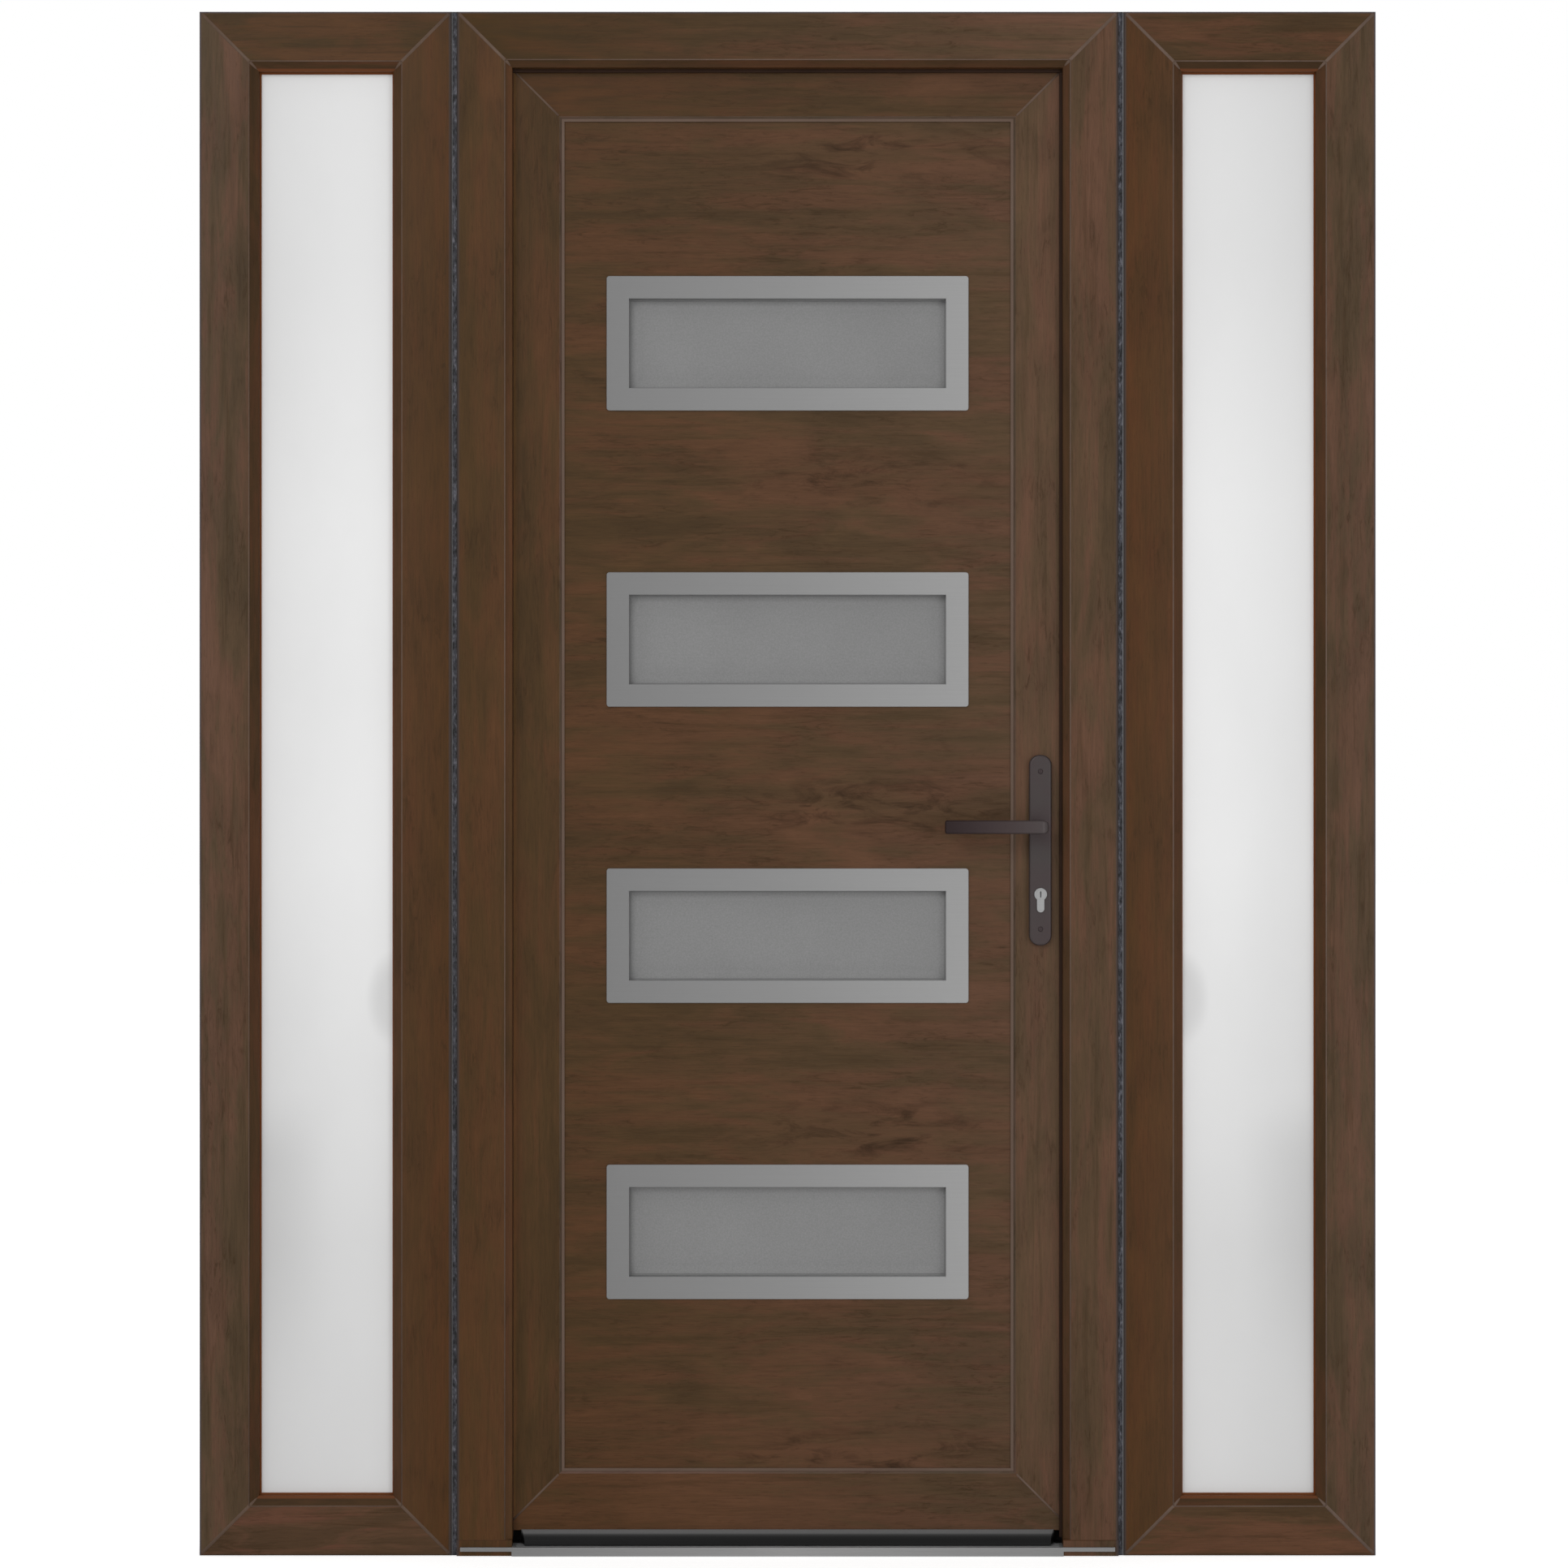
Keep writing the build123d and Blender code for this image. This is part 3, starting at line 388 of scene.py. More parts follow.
dress(walnut("lock_jamb_foil", "Z", (4.9, 0.3, 3.8), bevel=inner_bevel_shade, **door_tones), "lock_jamb")
dress(walnut("frame_head_foil", "X", (6.4, 0.5, 7.2), bevel=outer_bevel_shade, **head_tones), "frame_head")
dress(walnut("hinge_stile_foil", "Z", (8.6, 1.5, 0.6), bevel=leaf_bevel_highlight,
             gap_painted_light=(frame_lip + hinge_gap_reach, frame_lip, hinge_stile_painted_light), **door_tones),
      "hinge_stile")
dress(walnut("lock_stile_foil", "Z", (0.8, 1.1, 5.1), bevel=leaf_bevel_highlight, contrast=0.7, **lock_stile_tones),
      "lock_stile")
dress(walnut("top_rail_foil", "X", (3.7, 2.1, 9.4), bevel=leaf_bevel_highlight, **rail_tones), "top_rail")
dress(walnut("bottom_rail_foil", "X", (5.8, 2.7, 1.2), bevel=leaf_bevel_highlight, **door_tones), "bottom_rail")
dress(walnut("panel_foil", "X", (7.3, 3.6, 4.4), bevel=outer_bevel_shade, knots=True, **door_tones), "door_panel")
dress(walnut("panel_bead_foil", "Z", (9.9, 4.1, 2.6), bevel=inner_bevel_shade, **door_tones), "panel_beads")
dress(walnut("block_foil", "Z", (1.4, 4.8, 6.9), bevel=inner_bevel_shade, **door_tones), "threshold_blocks")


# Glass
glass_outer = set_edge - light_section[-1][0]
glass_inner = light_edge + light_section[-1][0]
pale_reach = glass_inner + 30 * millimetre
cloud_inner = glass_outer - 110 * millimetre
cloud_outer = glass_outer - 10 * millimetre
cloud_foot = 180 * millimetre
cloud_low = 445 * millimetre
cloud_high = 530 * millimetre
cloud_top = 640 * millimetre
spot_z = 757 * millimetre
spot_half_width = 42 * millimetre
spot_half_height = 70 * millimetre
cloud_strength = 0.42
veil_strength = 0.12
cloud_grey = 190
veil_grey = 196


def side_glass(name):
    """Lightly frosted side-light glass: pale, darker towards its foot, with two soft grey clouds."""
    graph = Graph(name, Roughness=0.22, Specular_IOR_Level=0.25)
    height = graph.axis("Z")
    reach = graph.math("ABSOLUTE", graph.axis("X"))
    tone = graph.ramp(graph.spread(height, 0.0, set_top), [
        (0.04, grey(228)), (0.2, grey(226)), (0.3, grey(234)), (0.45, grey(243)), (0.68, grey(242)),
        (0.84, grey(232)), (0.97, grey(228)),
    ])
    middle = graph.spread(reach, glass_outer, pale_reach)
    tone = graph.shade(tone, graph.spread(middle, 0.0, 1.0, 0.93, 1.02, smooth=True))

    outer_side = graph.spread(reach, cloud_inner, cloud_outer, smooth=True)
    below = graph.spread(height, cloud_top, cloud_high, smooth=True)
    above = graph.spread(height, cloud_foot, cloud_low, smooth=True)
    cloud = graph.math("MULTIPLY", outer_side, graph.math("MULTIPLY", below, above))
    across = graph.math("DIVIDE", graph.math("SUBTRACT", reach, glass_inner), spot_half_width)
    up = graph.math("DIVIDE", graph.math("SUBTRACT", height, spot_z), spot_half_height)
    distance = graph.math("ADD", graph.math("MULTIPLY", across, across), graph.math("MULTIPLY", up, up))
    spot = graph.spread(distance, 0.1, 1.0, 0.9, 0.0, smooth=True)
    veil = graph.noise((5.0, 5.0, 2.6), (0.3, 0.1, 0.7), detail=3.0, roughness=0.5)
    share = graph.math("MULTIPLY", graph.math("MAXIMUM", cloud, spot), cloud_strength)
    tone = graph.mix(share, tone, grey(cloud_grey))
    tone = graph.mix(graph.spread(veil, 0.45, 0.75, 0.0, veil_strength), tone, grey(veil_grey))
    graph.set("Base Color", tone)
    frost = graph.noise((900, 900, 900), detail=1.0)
    graph.bump(frost, 0.08, 0.05 * millimetre)
    return graph.material


window_count = 4
trim_height = 184 * millimetre
trim_band = 31 * millimetre
window_pitch = (trim_high.z - trim_low.z - trim_height) / (window_count - 1)
lowest_window = trim_low.z + trim_height / 2
window_half_height = trim_height / 2 - trim_band
window_half_width = (trim_high.x - trim_low.x) / 2 - trim_band
satin_rim = 15 * millimetre
satin_rim_full = 2 * millimetre
# Painted light along the satin glass's edges.
satin_rim_painted_light = 1.16
low_glass_lift = 1.05
low_trim_lift = 1.07


def low_window_lift(graph, lift):
    """A factor that grows towards the foot, where less light arrives."""
    return graph.spread(graph.axis("Z"), window_pitch * 3, window_pitch, 1.0, lift)


def satin_glass(name):
    """Grey satin glass with a fine grain. Painted light makes it paler along its edges, against the shade of
    the trims' recess, and towards the foot.
    """
    graph = Graph(name, Specular_IOR_Level=0.2)
    grain = graph.noise((430, 430, 430), detail=3.0, roughness=0.7)
    wide = graph.noise((9, 9, 9), (0.2, 0.7, 0.4), detail=2.0)
    tone = graph.math("ADD", graph.math("MULTIPLY", grain, 0.8), graph.math("MULTIPLY", wide, 0.2))
    tone = graph.ramp(tone, [(0.32, grey(124)), (0.68, grey(140))])
    tone = graph.shade(tone, low_window_lift(graph, low_glass_lift))
    # Painted light along each window's edges, against the shade of the trims' recess.
    above = graph.math("SUBTRACT", graph.axis("Z"), lowest_window - window_pitch / 2)
    up = graph.math("SUBTRACT", graph.math("FLOORED_MODULO", above, window_pitch), window_pitch / 2)
    from_top = graph.math("SUBTRACT", window_half_height, graph.math("ABSOLUTE", up))
    from_side = graph.math("SUBTRACT", window_half_width, graph.math("ABSOLUTE", graph.axis("X")))
    inset = graph.math("MINIMUM", from_top, from_side)
    rim_painted_light = graph.spread(inset, satin_rim, satin_rim_full, 1.0, satin_rim_painted_light)
    graph.set("Base Color", graph.shade(tone, rim_painted_light))
    graph.set("Roughness", graph.spread(grain, 0.3, 0.7, 0.42, 0.58))
    graph.bump(grain, 0.3, 0.2 * millimetre)
    return graph.material


dress(side_glass("side_light_glass"), "left_light_glass", "right_light_glass")
dress(satin_glass("window_satin_glass"), "window_glass")


# Metals
def brushed(name, tones, start, end, metallic=0.6, roughness=0.45, brush=(8, 900, 900), foot_lift=1.0):
    """Brushed metal whose grey runs through evenly spaced tones along X between start and end. The foot lift
    paints light towards the foot.
    """
    graph = Graph(name, Metallic=metallic)
    lines = graph.noise(brush, detail=2.0, roughness=0.6)
    stops = [(n / (len(tones) - 1), grey(tone)) for n, tone in enumerate(tones)]
    colour = graph.ramp(graph.spread(graph.axis("X"), start, end), stops)
    colour = graph.shade(colour, low_window_lift(graph, foot_lift))
    graph.set("Base Color", graph.shade(colour, graph.spread(lines, 0.3, 0.7, 0.96, 1.04)))
    graph.set("Roughness", graph.spread(lines, 0.3, 0.7, roughness - 0.06, roughness + 0.06))
    graph.bump(lines, 0.08, 0.03 * millimetre)
    return graph.material


def coated(name, colour, second, roughness=0.42, metallic=0.0, grain=(700, 700, 700), level=0.3):
    """Powder-coated metal or moulded plastic: a fine grain and a slight change of tone."""
    graph = Graph(name, Metallic=metallic, Specular_IOR_Level=level)
    peel = graph.noise(grain, detail=2.0)
    wide = graph.noise((14, 14, 14), detail=3.0)
    colour = graph.mix(graph.spread(wide, 0.3, 0.7), linear(*colour), linear(*second))
    graph.set("Base Color", graph.shade(colour, graph.spread(peel, 0.3, 0.7, 0.94, 1.06)))
    graph.set("Roughness", graph.spread(peel, 0.3, 0.7, roughness - 0.06, roughness + 0.08))
    graph.bump(peel, 0.12, 0.06 * millimetre)
    return graph.material


def handle_coat(name, dark_x, pale_x):
    """Dark bronze coat that is darkest at the lever's tip."""
    graph = Graph(name, Metallic=0.3, Specular_IOR_Level=0.25)
    peel = graph.noise((800, 800, 800), detail=2.0)
    reach = graph.spread(graph.axis("X"), dark_x, pale_x)
    colour = graph.ramp(reach, [
        (0.0, linear(31, 16, 17)), (0.25, linear(43, 31, 32)), (0.6, linear(58, 47, 47)),
        (1.0, linear(70, 63, 63)),
    ])
    graph.set("Base Color", graph.shade(colour, graph.spread(peel, 0.3, 0.7, 0.95, 1.05)))
    graph.set("Roughness", graph.spread(peel, 0.3, 0.7, 0.38, 0.5))
    graph.bump(peel, 0.12, 0.05 * millimetre)
    return graph.material


# On the trims the grey grows lighter from left to right, a painted reflection, and the foot lift is painted
# light.
dress(brushed("trim_satin_steel", (117, 131, 147), trim_low.x, trim_high.x, metallic=0.35, roughness=0.55,
              foot_lift=low_trim_lift),
      "window_trims_outside", "window_trims_inside")
dress(brushed("threshold_aluminium", (122, 146, 130), -leaf_edge, leaf_edge, metallic=0.4), "threshold")
faceplate_reach = 100 * millimetre
lock_zinc = brushed("lock_zinc", (150, 160), leaf_edge - faceplate_reach, leaf_edge, brush=(900, 900, 8))
dress(lock_zinc, "door_lock", "strike_plate", "spindle")
dress(brushed("cylinder_nickel", (148, 153), plate_low.x, plate_high.x, metallic=0.3),
      "lock_cylinder", "key_plug")
dress(handle_coat("lever_bronze", lever_low.x, lever_high.x), "lever_outside", "lever_inside")
dress(coated("plate_bronze", (61, 48, 50), (60, 54, 53), metallic=0.3), "handle_plate_outside",
      "handle_plate_inside")
hinge_coat = coated("hinge_coat", (62, 46, 36), (70, 52, 41), metallic=0.2)
dress(hinge_coat, "hinge_brackets", "hinge_leaves")


# Plastics and rubbers
def drip_bar_coat(name):
    """Black satin plastic, painted grey along its top edge as a highlight where the rounded top catches the
    light.
    """
    graph = Graph(name, Specular_IOR_Level=0.12)
    peel = graph.noise((600, 900, 900), detail=3.0)
    # Painted highlight: grey towards the top, black lower down.
    colour = graph.ramp(graph.spread(graph.axis("Z"), drip_low.z, drip_high.z), [
        (0.0, grey(32)), (0.2, grey(6)), (0.45, grey(9)), (0.62, grey(30)), (0.74, grey(58)),
        (0.84, grey(100)), (1.0, grey(112)),
    ])
    graph.set("Base Color", graph.shade(colour, graph.spread(peel, 0.3, 0.7, 0.93, 1.07)))
    graph.set("Roughness", graph.spread(peel, 0.3, 0.7, 0.4, 0.5))
    graph.bump(peel, 0.1, 0.05 * millimetre)
    return graph.material


dress(drip_bar_coat("drip_bar_plastic"), "drip_bar")
dress(coated("core_plastic", (24, 23, 22), (32, 30, 29), roughness=0.4), "threshold_core")
dress(coated("black_rubber", (14, 13, 12), (22, 20, 19), roughness=0.6, level=0.15), "leaf_gasket")
dress(coated("brown_rubber", (44, 29, 21), (52, 35, 26), roughness=0.6, level=0.1), "frame_gasket")
# The seals are real rubber; their pale grey is painted light against the shade in the glass's recess.
dress(coated("window_seal_rubber", (124, 124, 124), (132, 132, 132), roughness=0.6, level=0.15),
      "window_seals")
dress(coated("brush_bristles", (20, 19, 18), (32, 30, 28), roughness=0.7, level=0.1, grain=(1500, 1500, 25)),
      "bottom_seal")
dress(coated("caramel_rubber", (122, 68, 32), (108, 60, 30), roughness=0.6, level=0.1), "light_gaskets")
dress(coated("taupe_rubber", (98, 80, 69), (104, 87, 76), roughness=0.55, level=0.1), "panel_gasket")


def coupler_foil(name):
    """Dark grained strip with blue-grey specks and a painted highlight: a pale line along the side-light,
    dimmer on the left.
    """
    graph = Graph(name, Specular_IOR_Level=0.15, Roughness=0.5)
    specks = graph.noise((300, 300, 110), detail=4.0, roughness=0.7)
    grained = graph.ramp(specks, [
        (0.37, grey(24)), (0.46, linear(48, 47, 51)), (0.56, linear(68, 68, 73)),
        (0.67, linear(102, 101, 108)),
    ])
    x = graph.axis("X")
    across = graph.spread(graph.math("ABSOLUTE", x), door_edge, light_edge)
    # Painted highlight: a pale line along the side-light's edge, dimmer on the left.
    line = graph.spread(across, 0.80, 0.88)
    highlight_tone = graph.mix(graph.math("GREATER_THAN", x, 0.0), grey(88), grey(116))
    graph.set("Base Color", graph.mix(line, grained, highlight_tone))
    graph.bump(specks, 0.4, 0.3 * millimetre)
    return graph.material


dress(coupler_foil("coupler_grain"), "couplers")


def seam_and_highlight_foil(name):
    """Paler foil on the weld lines and a painted highlight on the edge lines, warmer on the left and greyer
    on the right, a painted sheen.
    """
    graph = Graph(name, Specular_IOR_Level=0.15, Roughness=0.45)
    # Painted sheen: warmer on the left, greyer on the right.
    tone = graph.spread(graph.axis("X"), -set_edge, set_edge)
    colour = graph.mix(tone, linear(94, 75, 62), linear(102, 84, 73))
    wear = graph.noise((60, 60, 60), detail=4.0, roughness=0.65)
    graph.set("Base Color", graph.shade(colour, graph.spread(wear, 0.3, 0.7, 0.85, 1.1)))
    graph.bump(wear, 0.2, 0.1 * millimetre)
    return graph.material


# Weld and edge lines: low rounded beads that lie on the profiles. The weld lines are real seams, painted
# paler as a highlight; the edge lines are painted highlights on the rounded edges.
seam_sink = 0.2 * millimetre
seam_samples = (-1.0, -0.5, 0.0, 0.5, 1.0)


class Outline:
    """The rectangle that a section runs round, with the depth of its surface at any place."""

    def __init__(self, left, right, bottom, top, section, side):
        self.left, self.right, self.bottom, self.top = left, right, bottom, top
        self.section = section
        self.side = side

    def depth(self, x, z):
        """The surface's Y at a place."""
        sides = [x - self.left, self.right - x, self.top - z]
        if self.bottom is not None:
            sides.append(z - self.bottom)
        inward = min(sides)
        for (near, near_depth), (far, far_depth) in zip(self.section, self.section[1:]):
            if inward <= far:
                share = max(0.0, (inward - near) / (far - near))
                return near_depth + share * (far_depth - near_depth)
        return self.section[-1][1]

    def corner(self, right, top, inward):
        """The place on a corner's mitre that is a distance inward from both sides."""
        x = self.right - inward if right else self.left + inward
        z = self.top - inward if top else self.bottom + inward
        return Vector((x, z))


class Beads:
    """Beads collected into one closed mesh."""

    def __init__(self):
        self.vertices = []
        self.faces = []

    def line(self, outline, points, width, height):
        """Adds a bead through points of one straight line, in X and Z."""
        along = (points[-1] - points[0]).normalized()
        across = Vector((-along.y, along.x))
        base = len(self.vertices)
        count = len(seam_samples)
        for lifted in (True, False):
            for point in points:
                for sample in seam_samples:
                    place = point + across * (sample * width / 2)
                    rise = height * (1 - sample * sample) if lifted else -seam_sink
                    depth = outline.depth(place.x, place.y) + outline.side * rise
                    self.vertices.append((place.x, depth, place.y))
        rows = len(points)

        def at(layer, row, column):
            return base + (layer * rows + row) * count + column

        for row in range(rows - 1):
            for column in range(count - 1):
                for layer in (0, 1):
                    quad = [at(layer, row, column), at(layer, row, column + 1),
                            at(layer, row + 1, column + 1), at(layer, row + 1, column)]
                    self.faces.append(quad if layer else quad[::-1])
            for column in (0, count - 1):
                quad = [at(0, row, column), at(0, row + 1, column),
                        at(1, row + 1, column), at(1, row, column)]
                self.faces.append(quad if column else quad[::-1])
        for row in (0, rows - 1):
            for column in range(count - 1):
                quad = [at(0, row, column), at(1, row, column),
                        at(1, row, column + 1), at(0, row, column + 1)]
                self.faces.append(quad if row else quad[::-1])

    def piece(self, name, body, slot, material):
        """Makes the scene's piece."""
        mesh = bpy.data.meshes.new(name)
        mesh.from_pydata(self.vertices, [], self.faces)
        mesh.validate()
        turn_outward(mesh)
        mesh.materials.append(material)
        mesh.shade_smooth()
        piece = bpy.data.objects.new(name, mesh)
        scene.collection.objects.link(piece)
        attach(piece, body)


def turn_outward(mesh):
    """Makes all faces of closed meshes look outward."""
    shell = bmesh.new()
    shell.from_mesh(mesh)
    bmesh.ops.recalc_face_normals(shell, faces=shell.faces)
    shell.to_mesh(mesh)
    shell.free()


def mitre(beads, outline, right, top, start, width):
    """A bead along one corner's mitre to near the section's end, with more points where the section bends."""
    end = outline.section[-1][0] - line_clearance
    bends = [inward for inward, depth in outline.section if start < inward < end]
    stops = [start] + [bend + step * width / 2 for bend in bends for step in (-1, 0, 1)] + [end]
    beads.line(outline, [outline.corner(right, top, stop) for stop in stops], width, weld_height)


left_light = (-set_edge, -light_edge, 0.0, set_top)
right_light = (light_edge, set_edge, 0.0, set_top)
door_outline = (-door_edge, door_edge, None, set_top)
leaf_outline = (-leaf_edge, leaf_edge, leaf_low.z, leaf_top)
weld_width = 4.2 * millimetre
leaf_weld_width = 2.8 * millimetre
edge_width = 1.6 * millimetre
weld_height = 0.3 * millimetre
edge_height = 0.15 * millimetre
weld_inset = 3.5 * millimetre
leaf_weld_inset = 2 * millimetre
line_clearance = millimetre
seam_and_highlight_material = seam_and_highlight_foil("seam_and_highlight_foil")
four_corners = [(False, False), (False, True), (True, False), (True, True)]
top_corners = [(False, True), (True, True)]

for side, limits in (("left", left_light), ("right", right_light)):
    front = Outline(*limits, light_section, -1)
    back = Outline(*limits, light_inside_section, 1)
    welds = Beads()
    edges = Beads()
    for right, top in four_corners:
        mitre(welds, front, right, top, weld_inset, weld_width)
        mitre(welds, back, right, top, weld_inset, weld_width)
    # Painted highlights along the edges between face and bevel.
    bend = light_section[1][0]
    ring = [front.corner(False, False, bend), front.corner(True, False, bend),
            front.corner(True, True, bend), front.corner(False, True, bend)]
    for start, end in zip(ring, ring[1:] + ring[:1]):
        edges.line(front, [start, end], edge_width, edge_height)
    welds.piece(f"{side}_light_welds", "frame_set", "walnut_upright", seam_and_highlight_material)
    edges.piece(f"{side}_light_edge_lines", "frame_set", "walnut_upright", seam_and_highlight_material)

front = Outline(*door_outline, frame_section, -1)
back = Outline(*door_outline, frame_inside_section, 1)
welds = Beads()
edges = Beads()
for right, top in top_corners:
    mitre(welds, front, right, top, weld_inset, weld_width)
    mitre(welds, back, right, top, weld_inset, weld_width)
# Painted highlights along the door frame's edges between face and bevel.
bend = frame_section[1][0]
foot = block_high.z + line_clearance
top_left = front.corner(False, True, bend)
top_right = front.corner(True, True, bend)
ring = [Vector((top_left.x, foot)), top_left, top_right, Vector((top_right.x, foot))]
for start, end in zip(ring, ring[1:]):
    edges.line(front, [start, end], edge_width, edge_height)
welds.piece("door_frame_welds", "frame_set", "walnut_upright", seam_and_highlight_material)
edges.piece("door_frame_edge_lines", "frame_set", "walnut_upright", seam_and_highlight_material)

front = Outline(*leaf_outline, sash_section, -1)
back = Outline(*leaf_outline, sash_inside_section, 1)
welds = Beads()
for right, top in four_corners:
    mitre(welds, front, right, top, leaf_weld_inset, leaf_weld_width)
    start = weld_inset - (flange if top else 0)
    mitre(welds, back, right, top, start, weld_width)
welds.piece("leaf_welds", "door_leaf", "walnut_upright", seam_and_highlight_material)


# Screws: lathed heads with a cross recess
screw_sides = 32


def lathe(profile, sides):
    """Vertices and faces of a closed turned form. The profile's (radius, height) points go down from the
    middle of its top to the middle of its foot."""
    vertices = [(0.0, 0.0, profile[0][1])]
    for radius, height in profile[1:-1]:
        for n in range(sides):
            angle = 2 * math.pi * n / sides
            vertices.append((radius * math.cos(angle), radius * math.sin(angle), height))
    vertices.append((0.0, 0.0, profile[-1][1]))
    faces = []
    rings = len(profile) - 2
    for n in range(sides):
        after = (n + 1) % sides
        faces.append([0, 1 + n, 1 + after])
        for ring in range(rings - 1):
            upper = 1 + ring * sides
            lower = upper + sides
            faces.append([upper + n, lower + n, lower + after, upper + after])
        last = 1 + (rings - 1) * sides
        faces.append([last + after, last + n, len(vertices) - 1])
    return vertices, faces


def screw_head(name, radius, height, material):
    """Mesh of a screw head that looks along +Z, with its foot just under the surface."""
    profile = [(0, height), (0.6 * radius, 0.97 * height), (0.85 * radius, 0.75 * height),
               (radius, 0.3 * height), (radius, -seam_sink), (0, -seam_sink)]
    head = bpy.data.meshes.new(name)
    vertices, faces = lathe(profile, screw_sides)
    head.from_pydata(vertices, [], faces)
    arm = 0.62 * radius
    half = 0.15 * radius
    plus = [(half, half), (half, arm), (-half, arm), (-half, half), (-arm, half), (-arm, -half),
            (-half, -half), (-half, -arm), (half, -arm), (half, -half), (arm, -half), (arm, half)]
    cross = bpy.data.meshes.new(name + "_cross")
    points = [(x, y, z) for z in (0.35 * height, 2 * height) for x, y in plus]
    count = len(plus)
    walls = [[n, (n + 1) % count, count + (n + 1) % count, count + n] for n in range(count)]
    cross.from_pydata(points, [], [list(range(count))[::-1], list(range(count, 2 * count))] + walls)
    for mesh in (head, cross):
        turn_outward(mesh)
    head_object = bpy.data.objects.new(name, head)
    cross_object = bpy.data.objects.new(name + "_cross", cross)
    for made in (head_object, cross_object):
        scene.collection.objects.link(made)
    cut = head_object.modifiers.new("recess", "BOOLEAN")
    cut.operation = "DIFFERENCE"
    cut.object = cross_object
    evaluated = head_object.evaluated_get(bpy.context.evaluated_depsgraph_get())
    finished = bpy.data.meshes.new_from_object(evaluated)
    for made in (head_object, cross_object):
        bpy.data.objects.remove(made)
    finished.materials.clear()
    finished.materials.append(material)
    return finished


def screw(name, mesh, place, facing, turn, body):
    """One screw on a surface that faces a direction, with its recess turned by an angle."""
    piece = bpy.data.objects.new(name, mesh)
    scene.collection.objects.link(piece)
    piece.rotation_mode = "QUATERNION"
    piece.rotation_quaternion = Vector(facing).to_track_quat("Z", "Y") @ Quaternion((0, 0, 1), turn)
    piece.location = place
    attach(piece, body)


plate_screw_spacing = 215 * millimetre
plate_recess = 1.2 * millimetre
bolt_screw_inset = 25 * millimetre
strike_screw_inset = 12 * millimetre
faceplate_screws = 7
plate_x = (plate_low.x + plate_high.x) / 2
plate_z = (plate_low.z + plate_high.z) / 2
lock_y = (faceplate_low.y + faceplate_high.y) / 2
bronze_head = screw_head("bronze_screw", 3.3 * millimetre, 0.9 * millimetre,
                         coated("screw_bronze", (54, 44, 45), (60, 50, 51), metallic=0.4))
zinc_head = screw_head("zinc_screw", 3.4 * millimetre, 0.7 * millimetre, lock_zinc)
brown_head = screw_head("brown_screw", 4.2 * millimetre, 1.4 * millimetre, hinge_coat)

for end, direction in (("upper", 1), ("lower", -1)):
    z = plate_z + direction * plate_screw_spacing / 2
    screw(f"plate_screw_outside_{end}", bronze_head, (plate_x, plate_low.y + plate_recess, z),
          (0, -1, 0), turn=0.5 + direction * 0.3, body="door_leaf")
    screw(f"plate_screw_inside_{end}", bronze_head, (plate_x, inner_plate_high.y - plate_recess, z),
          (0, 1, 0), turn=0.2 - direction * 0.4, body="door_leaf")
lowest_screw = faceplate_low.z + bolt_screw_inset
screw_step = (faceplate_high.z - faceplate_low.z - 2 * bolt_screw_inset) / (faceplate_screws - 1)
for number in range(faceplate_screws):
    z = lowest_screw + number * screw_step
    screw(f"faceplate_screw_{number + 1}", zinc_head, (leaf_edge, lock_y, z), (1, 0, 0),
          turn=0.7 * number, body="door_leaf")
strike_y = (strike_low.y + strike_high.y) / 2
for end, z in (("lower", strike_low.z + strike_screw_inset), ("upper", strike_high.z - strike_screw_inset)):
    screw(f"strike_screw_{end}", zinc_head, (strike_low.x, strike_y, z), (-1, 0, 0),
          turn=0.4, body="frame_set")

hinge_plate = 4 * millimetre
hinge_half = 50 * millimetre
hinge_screw_rise = 30 * millimetre
bracket_screw_inset = 9 * millimetre
leaf_screw_inset = 20 * millimetre
bracket_screw_x = bracket_low.x + bracket_screw_inset
leaf_screw_x = hinge_leaf_high.x - leaf_screw_inset
hinge_places = [bracket_low.z + hinge_half, (bracket_low.z + bracket_high.z) / 2,
                bracket_high.z - hinge_half]
for number, place in enumerate(hinge_places, 1):
    for end, direction in (("lower", -1), ("upper", 1)):
        z = place + direction * hinge_screw_rise
        screw(f"bracket_{number}_screw_{end}", brown_head, (bracket_screw_x, bracket_low.y + hinge_plate, z),
              (0, 1, 0), turn=number + 0.4 * direction, body="frame_set")
        screw(f"hinge_{number}_screw_{end}", brown_head, (leaf_screw_x, hinge_leaf_low.y + hinge_plate, z),
              (0, 1, 0), turn=number - 0.3 * direction, body="door_leaf")


# Camera: the photograph's own framing, level and straight on
photo_pixels = 1932
set_height_pixels = 1903
photo_middle = 966
set_middle_x = 970.4
set_foot_y = 1917
metres_per_pixel = set_top / set_height_pixels
camera_distance = 4.5
sensor_width = 36
view_width = photo_pixels * metres_per_pixel

camera = bpy.data.objects.new("camera", bpy.data.cameras.new("camera"))
scene.collection.objects.link(camera)
camera.location = ((photo_middle - set_middle_x) * metres_per_pixel, outside - camera_distance,
                   (set_foot_y - photo_middle) * metres_per_pixel)
camera.rotation_euler = (math.radians(90), 0, 0)
camera.data.sensor_width = sensor_width
camera.data.lens = sensor_width * camera_distance / view_width
camera.data.clip_end = 200
scene.camera = camera


# Light
def area_light(name, place, target, size, power):
    """A large soft lamp that looks at a point."""
    data = bpy.data.lights.new(name, "AREA")
    data.shape = "RECTANGLE"
    data.size = data.size_y = size
    data.energy = power
    lamp = bpy.data.objects.new(name, data)
    scene.collection.objects.link(lamp)
    lamp.location = place
    lamp.rotation_euler = (Vector(target) - Vector(place)).to_track_quat("-Z", "Y").to_euler()


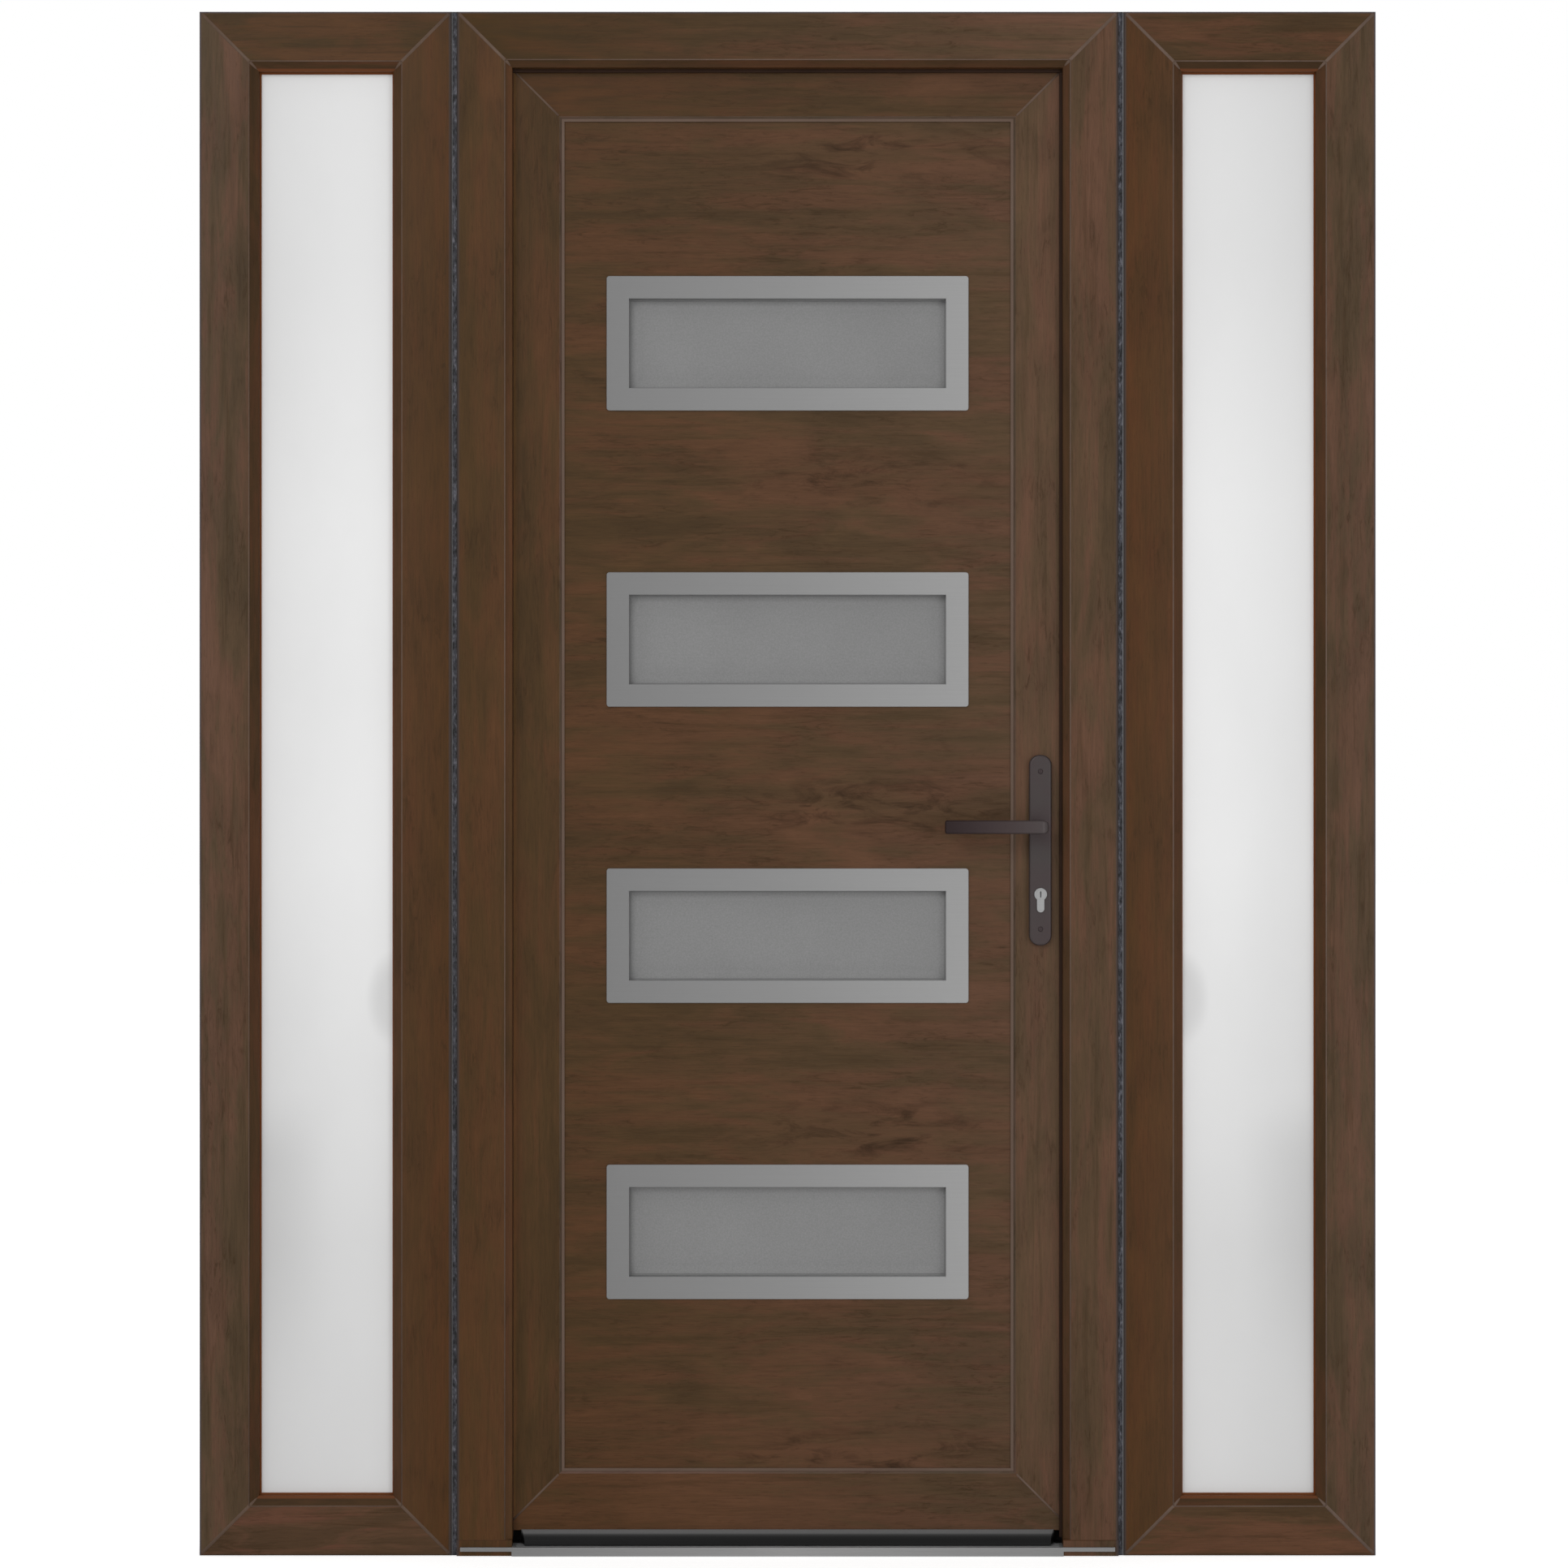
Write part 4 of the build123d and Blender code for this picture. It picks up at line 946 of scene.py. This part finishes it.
area_light("key", (-3.3, -8.0, 5.0), (0, 0, 1.0), size=3.5, power=190)
area_light("fill", (3.5, -6.0, 0.8), (0, 0, 0.9), size=2.5, power=70)
area_light("back", (1.0, 5.5, 3.6), (0, 0, 1.0), size=3.0, power=110)

world_strength = 0.62
floor_glow = 0.6
scene.view_settings.view_transform = "Standard"
scene.world = bpy.data.worlds.new("studio")
scene.world.use_nodes = True


def seen_directly(tree):
    """1 for what the camera sees, also in a reflection or through glass, and otherwise 0."""
    ray = tree.nodes.new("ShaderNodeLightPath")
    value = ray.outputs["Is Camera Ray"]
    for kind in ("Is Glossy Ray", "Is Transmission Ray"):
        either = tree.nodes.new("ShaderNodeMath")
        either.operation = "MAXIMUM"
        tree.links.new(value, either.inputs[0])
        tree.links.new(ray.outputs[kind], either.inputs[1])
        value = either.outputs[0]
    return value


def light_world(tree):
    """Even light from all round, seen as white."""
    strength = tree.nodes.new("ShaderNodeMapRange")
    strength.inputs["To Min"].default_value = world_strength
    strength.inputs["To Max"].default_value = 1.0
    tree.links.new(seen_directly(tree), strength.inputs["Value"])
    tree.nodes["Background"].inputs["Color"].default_value = (1, 1, 1, 1)
    tree.links.new(strength.outputs["Result"], tree.nodes["Background"].inputs["Strength"])


def floor_material():
    """Pale floor that is seen as white, with the object's soft shadow kept."""
    material = bpy.data.materials.new("studio_floor")
    material.use_nodes = True
    tree = material.node_tree
    tree.nodes.clear()
    out = tree.nodes.new("ShaderNodeOutputMaterial")
    diffuse = tree.nodes.new("ShaderNodeBsdfDiffuse")
    diffuse.inputs["Color"].default_value = (0.8, 0.8, 0.8, 1)
    glow = tree.nodes.new("ShaderNodeEmission")
    lift = tree.nodes.new("ShaderNodeMath")
    lift.operation = "MULTIPLY"
    lift.inputs[1].default_value = floor_glow
    add = tree.nodes.new("ShaderNodeAddShader")
    tree.links.new(seen_directly(tree), lift.inputs[0])
    tree.links.new(lift.outputs[0], glow.inputs["Strength"])
    tree.links.new(diffuse.outputs[0], add.inputs[0])
    tree.links.new(glow.outputs[0], add.inputs[1])
    tree.links.new(add.outputs[0], out.inputs["Surface"])
    return material


light_world(scene.world.node_tree)
floor_half = 30.0
floor_gap = 0.5 * millimetre
floor_mesh = bpy.data.meshes.new("studio_floor")
floor_corners = [(-floor_half, -floor_half, 0), (floor_half, -floor_half, 0), (floor_half, floor_half, 0),
                 (-floor_half, floor_half, 0)]
floor_mesh.from_pydata(floor_corners, [], [(0, 1, 2, 3)])
floor_mesh.materials.append(floor_material())
floor = bpy.data.objects.new("studio_floor", floor_mesh)
floor.location.z = -floor_gap
scene.collection.objects.link(floor)
